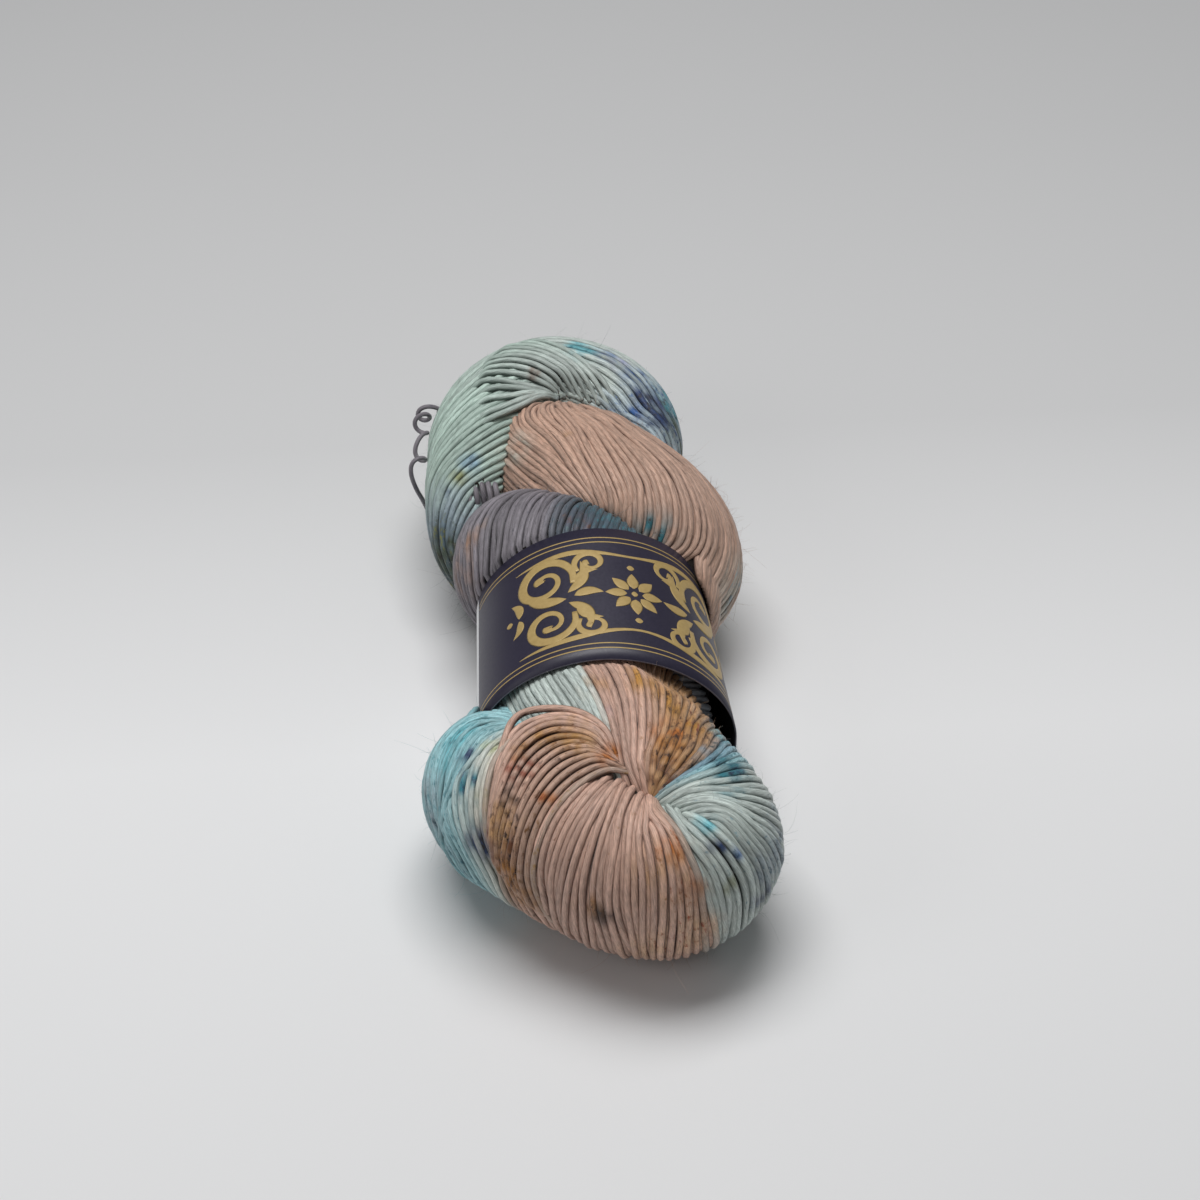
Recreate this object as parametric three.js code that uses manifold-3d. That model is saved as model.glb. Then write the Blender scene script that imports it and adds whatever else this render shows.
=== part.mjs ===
// Skein of hand-wound yarn with a paper band. Millimetres, +Z up, lying along Y.
// The near end is at -Y, the far end at +Y, and the floor is z = 0.
import * as THREE from "three";
import { mergeVertices } from "three/addons/utils/BufferGeometryUtils.js";
import Module from "manifold-3d";

const wasm = await Module();
wasm.setup();
const { Manifold, Mesh: SolidMesh } = wasm;

// ---- named sizes -------------------------------------------------------
const GAP = 0.3;              // clear air between neighbouring pieces
const HALF_PITCH = 43.5;      // along Y from one crossing to the next
const FIRST_TOP = -58;        // Y where the first ply lies on top
const SECOND_TOP = -14.5;     // Y where the second ply lies on top
const AXIS_Z = 25.3;          // height of the twist's axis
const CROSS_THICK = 13.2;     // half thickness of a ply at a crossing
const PLY_HALF = 20;          // half width of a ply along the twist's skin
const SIDES = 28;             // sides of a ply's section
const STEPS = 4;              // rings from one station to the next

// along Y: half width and centre of the twist, and how far a ply's centre
// rises above the axis at a crossing
const WAIST = [
  { y: -80, half: 30.0, mid: 3.5, rise: 12.3 },
  { y: -60, half: 29.5, mid: 2.8, rise: 12.0 },
  { y: -50, half: 28.3, mid: 1.8, rise: 10.9 },
  { y: -20, half: 27.2, mid: 1.4, rise: 10.6 },
  { y: -8, half: 32.6, mid: 3.9, rise: 10.6 },
  { y: 0, half: 35.6, mid: 5.0, rise: 11.2 },
  { y: 9, half: 37.3, mid: 4.6, rise: 12.4 },
  { y: 30, half: 36.5, mid: 3.6, rise: 12.4 },
  { y: 45, half: 36.0, mid: 2.0, rise: 12.4 },
];

// Stations of a ply: centre, the point its section faces away from, and the
// section's half sizes away from that point and along the skin.
const col = ([x, y, z, px, py, pz, out, along]) => ({ x, y, z, px, py, pz, out, along });

// first ply, from its tucked far end up to the twist
const TUCKED_END = [
  [1, 72, 17.5, 3, 64, 30, 5, 5],
  [-3.5, 65, 17, 3, 58, 32, 12.5, 13],
  [-9.5, 52, 19.5, 3, 48, 30, 14, 16],
  [-7.5, 39, 29.5, 3, 41, 26, 13.2, 18.5],
].map(col);

// the fold at the near end, clockwise seen from above
const NEAR_FOLD = [
  [13.5, -70, 34, 5.5, -69, 27, 13.8, 20],
  [21.5, -79, 30, 9.5, -78, 27, 14.3, 20],
  [25, -88, 26, 9.5, -82, 26, 14.5, 21.5],
  [18.5, -94.5, 22.9, 9.5, -82, 25, 15, 22.8],
  [7.5, -93.6, 22.6, 8, -80, 25, 17, 23.4],
  [-2.2, -87.6, 23.8, 4, -77, 25, 18.5, 22.8],
  [-12, -78.9, 24, -2, -72, 25, 19.4, 22],
  [-21.6, -70.2, 23.6, -7, -67, 25, 19.2, 20.6],
  [-21.5, -61.5, 21.4, -5, -61, 25, 16.8, 18.6],
].map(col);

// the end of the second ply, tucked in under the far eye
const NECK_END = [
  [6, 35, 13.8, 3, 34, 26, 11, 16],
  [7, 42, 14.5, 3, 42, 28, 8, 12],
  [7.5, 47, 15.5, 3, 47, 30, 4, 6],
].map(col);

// the eye at the far end, from under the right side round to the left
const FAR_EYE = [
  [15, 26, 14, 3, 30, 30, 9, 11],
  [18, 42, 21.5, 1, 48, 34, 10.5, 14],
  [16.5, 55, 25.5, 0, 50, 36, 12.5, 16],
  [9.5, 65.5, 28, -1, 51, 37, 14.5, 16.5],
  [-2.5, 70, 29, -1, 50, 37, 17.5, 16.5],
  [-13.5, 64, 29.5, -1, 50, 37, 17.5, 16.5],
  [-20, 53, 29, -2, 48, 37, 16.5, 16.5],
  [-23, 42, 27, -8, 41, 37, 14, 16],
  [-26.5, 31, 23, -14, 32, 36, 10, 14],
  [-27.5, 21, 18, -16, 24, 32, 7.5, 11],
  [-24.5, 12, 15, -14, 16, 30, 6, 8],
].map(col);

// paper band: a sleeve with flat ends that lean a little, fuller below than above
const BAND = {
  thick: 1, sides: 72, steps: 6, above: 1.9, below: 2.6, top: 50.2,
  near: { y: -53.8, half: 30.7, mid: 2.05, lean: -0.11, skew: -0.03 },
  far: { y: -7.45, half: 28.25, mid: 1.5, lean: -0.04, skew: 0.034 },
};

// turns of the tie that show in the hollow between the lobes
const TIE = { radius: 1.05, turns: 4, step: 1.75, sides: 8 };
const TIE_ROUTE = [[-25.6, 35, 29], [-25.2, 32, 32.4], [-24.6, 28, 33], [-24.2, 24, 30]];

// loose end of the tie: a guide from inside the far eye, along its side and
// down to the floor, with the radius of its curls and the turns made so far
const TAIL_RADIUS = 0.6;
const TAIL_STEPS = 80;
const TAIL_POCKET = [-31, 60.6, 31.8];
const TAIL_GUIDE = [
  { x: -33, y: 60.6, z: 33.2, curl: 1.9, turns: -0.04 },
  { x: -35.2, y: 60.4, z: 33.9, curl: 1.9, turns: 0.1 },
  { x: -37, y: 59.8, z: 34.4, curl: 1.9, turns: 0.42 },
  { x: -37.8, y: 58.4, z: 34.5, curl: 1.9, turns: 0.86 },
  { x: -38.1, y: 56.4, z: 34.3, curl: 1.9, turns: 1.34 },
  { x: -38.3, y: 54.2, z: 33.9, curl: 1.8, turns: 1.78 },
  { x: -38.6, y: 51.4, z: 33.3, curl: 1.4, turns: 2.12 },
  { x: -38.9, y: 48.4, z: 32.7, curl: 1.1, turns: 2.4 },
  { x: -39.3, y: 45.6, z: 32.1, curl: 1.5, turns: 2.72 },
  { x: -39.6, y: 43.2, z: 31.7, curl: 1.9, turns: 3.08 },
  { x: -39.7, y: 41.2, z: 31.2, curl: 2, turns: 3.4 },
  { x: -39.4, y: 39.8, z: 29.2, curl: 2, turns: 3.52 },
  { x: -38.8, y: 39.6, z: 25.4, curl: 1.6, turns: 3.55 },
  { x: -38, y: 41, z: 20.2, curl: 1, turns: 3.55 },
  { x: -37.2, y: 43.4, z: 14.2, curl: 0.6, turns: 3.55 },
  { x: -36.6, y: 46.2, z: 8.4, curl: 0.3, turns: 3.55 },
  { x: -36.2, y: 49.2, z: 3.8, curl: 0.1, turns: 3.55 },
  { x: -35.9, y: 53, z: 1.1, curl: 0, turns: 3.55 },
  { x: -35.2, y: 58, z: 0.62, curl: 0, turns: 3.55 },
];

// middle of the lying skein in plan, moved to the origin
const CENTRE = [-0.15, -11.8];

// ---- curves and sections -----------------------------------------------
const v3 = (p) => new THREE.Vector3(p[0], p[1], p[2]);

function alongY(rows, y, key) {
  if (y <= rows[0].y) return rows[0][key];
  for (let i = 1; i < rows.length; i += 1) {
    if (y <= rows[i].y) {
      const f = (y - rows[i - 1].y) / (rows[i].y - rows[i - 1].y);
      return rows[i - 1][key] * (1 - f) + rows[i][key] * f;
    }
  }
  return rows[rows.length - 1][key];
}

// a station of the twist: `top` is a Y where this ply lies on top
function twist(y, top) {
  const a = Math.PI * (0.5 + (y - top) / HALF_PITCH);
  const half = alongY(WAIST, y, "half");
  const mid = alongY(WAIST, y, "mid");
  return {
    x: mid + half * 0.48 * Math.cos(a), y, z: AXIS_Z + alongY(WAIST, y, "rise") * Math.sin(a),
    px: mid, py: y, pz: AXIS_Z,
    out: Math.hypot(half * 0.52 * Math.cos(a), CROSS_THICK * Math.sin(a)), along: PLY_HALF,
  };
}

const KEYS = ["x", "y", "z", "px", "py", "pz", "out", "along"];

// smooth value between stations
function between(stations, t, keys = KEYS) {
  const last = stations.length - 1;
  const i = Math.min(Math.floor(t), last - 1);
  const f = t - i;
  const row = {};
  for (const k of keys) {
    const b = stations[i][k];
    const c = stations[i + 1][k];
    const a = i > 0 ? stations[i - 1][k] : 2 * b - c;
    const d = i + 2 <= last ? stations[i + 2][k] : 2 * c - b;
    row[k] = 0.5 * (2 * b + (c - a) * f + (2 * a - 5 * b + 4 * c - d) * f * f
      + (3 * b - a - 3 * c + d) * f * f * f);
  }
  return row;
}

// one ring of points round the ply at t
function ring(stations, t) {
  const end = stations.length - 1;
  const here = between(stations, t);
  const back = between(stations, Math.max(0, t - 0.02));
  const next = between(stations, Math.min(end, t + 0.02));
  const run = new THREE.Vector3(next.x - back.x, next.y - back.y, next.z - back.z).normalize();
  const out = new THREE.Vector3(here.x - here.px, here.y - here.py, here.z - here.pz);
  out.addScaledVector(run, -out.dot(run)).normalize();
  const skin = new THREE.Vector3().crossVectors(run, out);
  const points = [];
  for (let k = 0; k < SIDES; k += 1) {
    const a = (2 * Math.PI * k) / SIDES;
    points.push(new THREE.Vector3(here.x, here.y, here.z)
      .addScaledVector(out, here.out * Math.cos(a)).addScaledVector(skin, here.along * Math.sin(a)));
  }
  return points;
}

// closed tube through rings of equal length, with a fan on each end
function tube(rings) {
  const n = rings[0].length;
  const points = rings.flat();
  const ends = [rings[0], rings[rings.length - 1]].map((r) => r
    .reduce((sum, p) => sum.add(p), new THREE.Vector3()).divideScalar(n));
  points.push(...ends);
  const index = [];
  for (let j = 0; j < rings.length - 1; j += 1) {
    for (let k = 0; k < n; k += 1) {
      const a = j * n + k;
      const b = j * n + ((k + 1) % n);
      index.push(a, b, b + n, a, b + n, a + n);
    }
  }
  const start = rings.length * n;
  const lastRing = (rings.length - 1) * n;
  for (let k = 0; k < n; k += 1) {
    const b = (k + 1) % n;
    index.push(start, b, k, start + 1, lastRing + k, lastRing + b);
  }
  return toSolid(points, index);
}

function toSolid(points, index) {
  const g = new THREE.BufferGeometry();
  g.setAttribute("position", new THREE.Float32BufferAttribute(points.flatMap((p) => [p.x, p.y, p.z]), 3));
  g.setIndex(index);
  const merged = mergeVertices(g, 1e-4);
  return new Manifold(new SolidMesh({
    numProp: 3,
    vertProperties: new Float32Array(merged.attributes.position.array),
    triVerts: new Uint32Array(merged.index.array),
  }));
}

function toMesh(solid, name, material) {
  const mesh = solid.translate([-CENTRE[0], -CENTRE[1], 0]).getMesh();
  const g = new THREE.BufferGeometry();
  const flat = new Float32Array((mesh.vertProperties.length / mesh.numProp) * 3);
  for (let i = 0; i < flat.length / 3; i += 1) {
    for (let c = 0; c < 3; c += 1) flat[i * 3 + c] = mesh.vertProperties[i * mesh.numProp + c];
  }
  g.setAttribute("position", new THREE.BufferAttribute(flat, 3));
  g.setIndex(new THREE.BufferAttribute(new Uint32Array(mesh.triVerts), 1));
  g.computeVertexNormals();
  const out = new THREE.Mesh(g, material);
  out.name = name;
  return out;
}

// points of the tie's loose end
function tailPoints() {
  const keys = ["x", "y", "z", "curl", "turns"];
  const last = TAIL_GUIDE.length - 1;
  const points = [];
  for (let s = 0; s <= TAIL_STEPS; s += 1) {
    const row = between(TAIL_GUIDE, (s / TAIL_STEPS) * last, keys);
    const a = 2 * Math.PI * row.turns;
    points.push([row.x + row.curl * Math.cos(a), row.y, row.z + row.curl * Math.sin(a)]);
  }
  return points;
}

// ply between two stations of one run
function plyPart(stations, from, to) {
  const rings = [];
  for (let s = from * STEPS; s <= to * STEPS; s += 1) rings.push(ring(stations, s / STEPS));
  return tube(rings);
}

// round cord through points, `extra` thicker
function cord(points, radius, steps, sides) {
  const curve = new THREE.CatmullRomCurve3(points.map(v3), false, "centripetal");
  const section = new THREE.Shape();
  for (let k = 0; k < sides; k += 1) {
    const a = (2 * Math.PI * k) / sides;
    section[k ? "lineTo" : "moveTo"](radius * Math.cos(a), radius * Math.sin(a));
  }
  const g = new THREE.ExtrudeGeometry(section, { steps, bevelEnabled: false, extrudePath: curve });
  g.deleteAttribute("normal");
  g.deleteAttribute("uv");
  const merged = mergeVertices(g, 1e-4);
  return new Manifold(new SolidMesh({
    numProp: 3,
    vertProperties: new Float32Array(merged.attributes.position.array),
    triVerts: new Uint32Array(merged.index.array),
  }));
}

// the sleeve, `grow` thicker inside and at both ends, and `reach` thicker outside
function bandSleeve(grow, reach = grow) {
  const { near, far, above, below, sides, steps, top, thick } = BAND;
  const round = (c, power) => Math.sign(c) * Math.abs(c) ** (2 / power);
  const loop = (f, inset) => {
    const points = [];
    const half = near.half * (1 - f) + far.half * f - inset;
    const mid = near.mid * (1 - f) + far.mid * f;
    for (let k = 0; k < sides; k += 1) {
      const a = (2 * Math.PI * k) / sides;
      const power = Math.sin(a) > 0 ? above : below;
      const x = half * round(Math.cos(a), power);
      const up = (top / 2 - inset) * round(Math.sin(a), power);
      const y0 = near.y + near.skew * x - near.lean * up - grow;
      const y1 = far.y + far.skew * x - far.lean * up + grow;
      points.push(new THREE.Vector3(mid + x, y0 + (y1 - y0) * f, top / 2 + up));
    }
    return points;
  };
  const rings = [];
  for (let s = 0; s <= steps; s += 1) rings.push(loop(s / steps, -reach));
  for (let s = steps; s >= 0; s -= 1) rings.push(loop(s / steps, thick + grow));
  const index = [];
  for (let j = 0; j < rings.length; j += 1) {
    const a = j * sides;
    const b = ((j + 1) % rings.length) * sides;
    for (let k = 0; k < sides; k += 1) {
      const n = (k + 1) % sides;
      index.push(a + k, b + n, a + n, a + k, b + k, b + n);
    }
  }
  return toSolid(rings.flat(), index);
}

// ---- the pieces --------------------------------------------------------
const first = [...TUCKED_END];
for (let k = 0; k < 9; k += 1) first.push(twist(28 - k * 11, FIRST_TOP));
const second = [];
for (let k = 0; k < 9; k += 1) second.push(twist(-53 + k * 10, SECOND_TOP));
second.push(...NECK_END);
const whole = [...first, ...NEAR_FOLD, ...second];
const foldStart = first.length - 1;
const foldMid = first.length + 4;
const foldEnd = first.length + NEAR_FOLD.length;

const yarn = Manifold.union([
  plyPart(whole, 0, foldStart - 4),
  plyPart(whole, foldStart - 4, foldStart),
  plyPart(whole, foldStart, foldMid),
  plyPart(whole, foldMid, foldEnd),
  plyPart(whole, foldEnd, foldEnd + 4),
  plyPart(whole, foldEnd + 4, whole.length - 1),
  plyPart(FAR_EYE, 0, 5),
  plyPart(FAR_EYE, 5, FAR_EYE.length - 1),
]);

const tieTurns = (radius) => {
  const turns = [];
  for (let k = 0; k < TIE.turns; k += 1) {
    const points = TIE_ROUTE.map((p, i) => [p[0] + k * TIE.step, p[1] - k * 0.5, p[2] + k * 0.35 + (i % 2) * 0.2]);
    turns.push(cord(points, radius, 9, TIE.sides));
  }
  return Manifold.union(turns);
};

// the outer body alone, without the pockets closed in between the plies
const solidBody = (solid) => solid.decompose()
  .reduce((best, piece) => (piece.volume() > best.volume() ? piece : best));

const tail = tailPoints();
const floor = Manifold.cube([400, 400, 100], true).translate([0, 0, -50]);
const hank = solidBody(solidBody(yarn)
  .subtract(bandSleeve(GAP, 0.8))
  .subtract(tieTurns(TIE.radius + GAP))
  .subtract(cord([TAIL_POCKET, ...tail], TAIL_RADIUS + GAP, TAIL_STEPS, 6))
  .subtract(floor));

const yarnLook = new THREE.MeshStandardMaterial({ color: 0xb9b4b2, roughness: 0.85 });
const paperLook = new THREE.MeshStandardMaterial({ color: 0x29263d, roughness: 0.55 });
const tieLook = new THREE.MeshStandardMaterial({ color: 0x8f8f9c, roughness: 0.85 });

const skein = new THREE.Group();
skein.name = "skein";
skein.add(toMesh(hank, "hank", yarnLook));
skein.add(toMesh(bandSleeve(0), "paper_band", paperLook));
skein.add(toMesh(tieTurns(TIE.radius), "tie_turns", tieLook));
skein.add(toMesh(cord(tail, TAIL_RADIUS, TAIL_STEPS, 8), "tie_end", tieLook));

export default skein;
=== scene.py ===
# %% [markdown]
# # A twisted skein of hand-dyed yarn
# A skein is one very long thread wound into a loop, twisted until it folds back on itself and tucked
# into its own end. A paper band holds the middle, and a short tie keeps the rounds together. The plan
# is to load the measured frame first, then lay a real tube of yarn along every round that can be seen.

import math

import bmesh
import bpy
import numpy as np
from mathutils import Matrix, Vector
from mathutils.bvhtree import BVHTree


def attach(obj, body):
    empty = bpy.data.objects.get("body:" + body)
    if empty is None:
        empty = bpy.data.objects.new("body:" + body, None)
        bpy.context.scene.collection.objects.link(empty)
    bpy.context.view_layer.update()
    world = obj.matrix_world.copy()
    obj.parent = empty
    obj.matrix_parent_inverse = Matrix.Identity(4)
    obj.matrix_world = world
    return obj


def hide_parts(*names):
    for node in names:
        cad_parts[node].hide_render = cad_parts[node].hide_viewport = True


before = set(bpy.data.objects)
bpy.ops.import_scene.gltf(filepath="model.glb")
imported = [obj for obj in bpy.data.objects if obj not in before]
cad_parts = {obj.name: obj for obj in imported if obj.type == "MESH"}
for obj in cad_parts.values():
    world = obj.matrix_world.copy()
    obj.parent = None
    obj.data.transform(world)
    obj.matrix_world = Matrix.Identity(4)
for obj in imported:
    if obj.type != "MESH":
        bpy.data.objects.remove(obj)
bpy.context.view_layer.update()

# %% [markdown]
# The numbers of the skein are easiest to think about in millimetres, in the maker's own drawing. Blender
# works in metres, so one small helper turns a list of drawing points into the shared frame. The shift
# puts the middle of the lying skein at the origin.

# %% Millimetres of the drawing to metres of the frame
SHIFT = np.array([0.15, 11.8, 0.0])


def in_frame(points):
    return (np.asarray(points, float) + SHIFT) / 1000.0


scene = bpy.context.scene


def show(name, mesh, material=None):
    """Put a mesh in the scene as a piece of the skein."""
    piece = bpy.data.objects.new(name, mesh)
    scene.collection.objects.link(piece)
    if material is not None:
        mesh.materials.append(material)
    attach(piece, "root")
    return piece


# %% [markdown]
# ## Camera
# A small still-life like this is looked at from above its near end. A long lens from 62 cm away keeps
# the far end from shrinking too much. The camera looks at a point a little above the table.

# %% Camera
LENS = 74.4
LOOK_AT = Vector((0.00435, 0.0063, 0.025))
EYE_AT = Vector((-0.03064, -0.43831, 0.45569))
camera = bpy.data.objects.new("camera", bpy.data.cameras.new("camera"))
scene.collection.objects.link(camera)
camera.data.lens = LENS
camera.data.sensor_width = 36.0
camera.data.clip_start = 0.01
camera.location = EYE_AT
camera.rotation_euler = (LOOK_AT - EYE_AT).to_track_quat("-Z", "Y").to_euler()
scene.camera = camera
print("camera", round((LOOK_AT - EYE_AT).length, 3), "m from the skein")

# %% [markdown]
# ## Smooth runs through stations
# Every long form here is drawn through a few stations. A Catmull-Rom curve passes through each of them,
# which makes it easy to move one station and see what changes. The same rule gives the line of the
# loose end, the middle of a ply and the size of its section.


# %% Smooth values between stations
def between(rows, t):
    rows = np.asarray(rows, float)
    t = np.asarray(t, float)
    n = len(rows)
    i = np.clip(np.floor(t).astype(int), 0, n - 2)
    f = (t - i)[..., None]
    q = np.vstack([2 * rows[0] - rows[1], rows, 2 * rows[-1] - rows[-2]])
    a, b, c, d = q[i], q[i + 1], q[i + 2], q[i + 3]
    return 0.5 * (2 * b + (c - a) * f + (2 * a - 5 * b + 4 * c - d) * f * f + (3 * b - a - 3 * c + d) * f**3)


def through(x, knots, values):
    """Smooth curve through uneven knots, level beyond both ends."""
    knots, values = np.asarray(knots, float), np.asarray(values, float)
    step = np.diff(knots)
    rise = np.diff(values) / step
    slope = np.r_[rise[0], (rise[:-1] * step[1:] + rise[1:] * step[:-1]) / (step[1:] + step[:-1]), rise[-1]]
    i = np.clip(np.searchsorted(knots, x) - 1, 0, len(step) - 1)
    f = np.clip((x - knots[i]) / step[i], 0, 1)
    turn_in = slope[i] * f * (1 - f) ** 2 - slope[i + 1] * f * f * (1 - f)
    return values[i] * (1 + 2 * f) * (1 - f) ** 2 + values[i + 1] * f * f * (3 - 2 * f) + step[i] * turn_in


def ease(x):
    x = np.clip(x, 0.0, 1.0)
    return x * x * (3 - 2 * x)


# %% [markdown]
# ## The yarn tube
# A thread is a round tube that follows its line. A Blender curve with a bevel makes that tube, and one
# curve can hold hundreds of separate splines, so a whole layer of yarn is one object. It is turned into
# a mesh at once, because its points then come in a known order: ring after ring along each thread.
# That order is used to write attributes: where a point is along its thread and round it, and its dye.
# The open ends are filled with a bmesh operator, which leaves the order of the points alone.

# %% Tubes of yarn from their lines
SIDES = 8


def tubes(name, runs, radius, sides=SIDES):
    """runs: list of dicts with points in mm, and thick, a factor for each point. Gives a mesh."""
    curve = bpy.data.curves.new(name, "CURVE")
    curve.dimensions = "3D"
    curve.resolution_u = 1
    curve.bevel_depth = radius / 1000.0
    curve.bevel_resolution = (sides - 4) // 2
    for run in runs:
        spline = curve.splines.new("POLY")
        points = in_frame(run["points"])
        spline.points.add(len(points) - 1)
        spline.points.foreach_set("co", np.c_[points, np.ones(len(points))].ravel())
        spline.points.foreach_set("radius", np.asarray(run["thick"], float).ravel())
    maker = bpy.data.objects.new(name, curve)
    scene.collection.objects.link(maker)
    mesh = bpy.data.meshes.new_from_object(maker.evaluated_get(bpy.context.evaluated_depsgraph_get()))
    bpy.data.objects.remove(maker)
    bpy.data.curves.remove(curve)
    mesh.name = name
    bm = bmesh.new()
    bm.from_mesh(mesh)
    bmesh.ops.holes_fill(bm, edges=[edge for edge in bm.edges if edge.is_boundary], sides=0)
    for face in bm.faces:
        face.smooth = True
    bm.to_mesh(mesh)
    bm.free()
    made = sum(len(run["points"]) for run in runs) * sides
    if made != len(mesh.vertices):
        raise ValueError(f"{name}: {len(mesh.vertices)} points, expected {made}")
    return mesh


def write(mesh, name, kind, values):
    values = np.asarray(values, np.float32)
    attribute = mesh.attributes.new(name, kind, "POINT")
    key = {"FLOAT": "value", "FLOAT_VECTOR": "vector", "FLOAT_COLOR": "color"}[kind]
    attribute.data.foreach_set(key, values.ravel())


# %% [markdown]
# ## Loose end of the tie
# The tie's yarn is springy, so its cut end curls like a pig's tail where it hangs from the side of the
# skein down to the table. It is a cord, so it is made from its centre line, and its real length is
# measured on that line. The guide gives a place, the radius of the curl and the turns made so far.

# %% Loose end of the tie
TAIL_RADIUS = 0.6
TAIL_GUIDE = [
    (-33, 60.6, 33.2, 1.9, -0.04),
    (-35.2, 60.4, 33.9, 1.9, 0.1),
    (-37, 59.8, 34.4, 1.9, 0.42),
    (-37.8, 58.4, 34.5, 1.9, 0.86),
    (-38.1, 56.4, 34.3, 1.9, 1.34),
    (-38.3, 54.2, 33.9, 1.8, 1.78),
    (-38.6, 51.4, 33.3, 1.4, 2.12),
    (-38.9, 48.4, 32.7, 1.1, 2.4),
    (-39.3, 45.6, 32.1, 1.5, 2.72),
    (-39.6, 43.2, 31.7, 1.9, 3.08),
    (-39.7, 41.2, 31.2, 2, 3.4),
    (-39.4, 39.8, 29.2, 2, 3.52),
    (-38.8, 39.6, 25.4, 1.6, 3.55),
    (-38, 41, 20.2, 1, 3.55),
    (-37.2, 43.4, 14.2, 0.6, 3.55),
    (-36.6, 46.2, 8.4, 0.3, 3.55),
    (-36.2, 49.2, 3.8, 0.1, 3.55),
    (-35.9, 53, 1.1, 0, 3.55),
    (-35.2, 58, 0.62, 0, 3.55),
]


def length_of(points):
    return float(np.linalg.norm(np.diff(points, axis=0), axis=1).sum())


tail_rows = between(TAIL_GUIDE, np.linspace(0, len(TAIL_GUIDE) - 1, 161))
turn = 2 * np.pi * tail_rows[:, 4]
tail_line = tail_rows[:, :3] + (tail_rows[:, 3] * np.array([np.cos(turn), 0 * turn, np.sin(turn)])).T
tail_run = {"points": tail_line, "thick": np.ones(len(tail_line))}
print("loose end", round(length_of(tail_line), 1), "mm long")

# %% [markdown]
# ## The hank's own drawing
# The hank is two plies that cross over and under, a fold at the near end and an eye at the far end that
# the tucked end goes through. Each station has a middle, a point that its section faces away from, and
# the section's two half sizes. These are the numbers of the solid model, so the yarn lies on its skin.

# %% Stations of the plies
WAIST = np.array(
    [
        [-80, 30.0, 3.5, 12.3],
        [-60, 29.5, 2.8, 12.0],
        [-50, 28.3, 1.8, 10.9],
        [-20, 27.2, 1.4, 10.6],
        [-8, 32.6, 3.9, 10.6],
        [0, 35.6, 5.0, 11.2],
        [9, 37.3, 4.6, 12.4],
        [30, 36.5, 3.6, 12.4],
        [45, 36.0, 2.0, 12.4],
    ]
)


def twist(y, top):
    a = math.pi * (0.5 + (y - top) / 43.5)
    half, mid, rise = (np.interp(y, WAIST[:, 0], WAIST[:, k]) for k in (1, 2, 3))
    out = math.hypot(half * 0.52 * math.cos(a), 13.2 * math.sin(a))
    return [mid + half * 0.48 * math.cos(a), y, 25.3 + rise * math.sin(a), mid, y, 25.3, out, 20]


TUCKED_END = [
    [1, 72, 17.5, 3, 64, 30, 5, 5],
    [-3.5, 65, 17, 3, 58, 32, 12.5, 13],
    [-9.5, 52, 19.5, 3, 48, 30, 14, 16],
    [-7.5, 39, 29.5, 3, 41, 26, 13.2, 18.5],
]
NEAR_FOLD = [
    [13.5, -70, 34, 5.5, -69, 27, 13.8, 20],
    [21.5, -79, 30, 9.5, -78, 27, 14.3, 20],
    [25, -88, 26, 9.5, -82, 26, 14.5, 21.5],
    [18.5, -94.5, 22.9, 9.5, -82, 25, 15, 22.8],
    [7.5, -93.6, 22.6, 8, -80, 25, 17, 23.4],
    [-2.2, -87.6, 23.8, 4, -77, 25, 18.5, 22.8],
    [-12, -78.9, 24, -2, -72, 25, 19.4, 22],
    [-21.6, -70.2, 23.6, -7, -67, 25, 19.2, 20.6],
    [-21.5, -61.5, 21.4, -5, -61, 25, 16.8, 18.6],
]
NECK_END = [
    [6, 35, 13.8, 3, 34, 26, 11, 16],
    [7, 42, 14.5, 3, 42, 28, 8, 12],
    [7.5, 47, 15.5, 3, 47, 30, 4, 6],
]
FAR_EYE = [
    [15, 26, 14, 3, 30, 30, 9, 11],
    [18, 42, 21.5, 1, 48, 34, 10.5, 14],
    [16.5, 55, 25.5, 0, 50, 36, 12.5, 16],
    [9.5, 65.5, 28, -1, 51, 37, 14.5, 16.5],
    [-2.5, 70, 29, -1, 50, 37, 17.5, 16.5],
    [-13.5, 64, 29.5, -1, 50, 37, 17.5, 16.5],
    [-20, 53, 29, -2, 48, 37, 16.5, 16.5],
    [-23, 42, 27, -8, 41, 37, 14, 16],
    [-26.5, 31, 23, -14, 32, 36, 10, 14],
    [-27.5, 21, 18, -16, 24, 32, 7.5, 11],
    [-24.5, 12, 15, -14, 16, 30, 6, 8],
]
PLIES = np.array(
    TUCKED_END
    + [twist(28 - 11 * k, -58) for k in range(9)]
    + NEAR_FOLD
    + [twist(-53 + 10 * k, -14.5) for k in range(9)]
    + NECK_END,
    float,
)
FAR_EYE = np.array(FAR_EYE, float)
print("stations", len(PLIES), "and", len(FAR_EYE))


# %% [markdown]
# A point on a ply's skin is named by its place along the ply and its angle round the section. The
# helper gives that point and the direction straight out of the skin. Angle 0 faces away from the middle
# of the twist, and 90 degrees is the top of the near fold.


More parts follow.
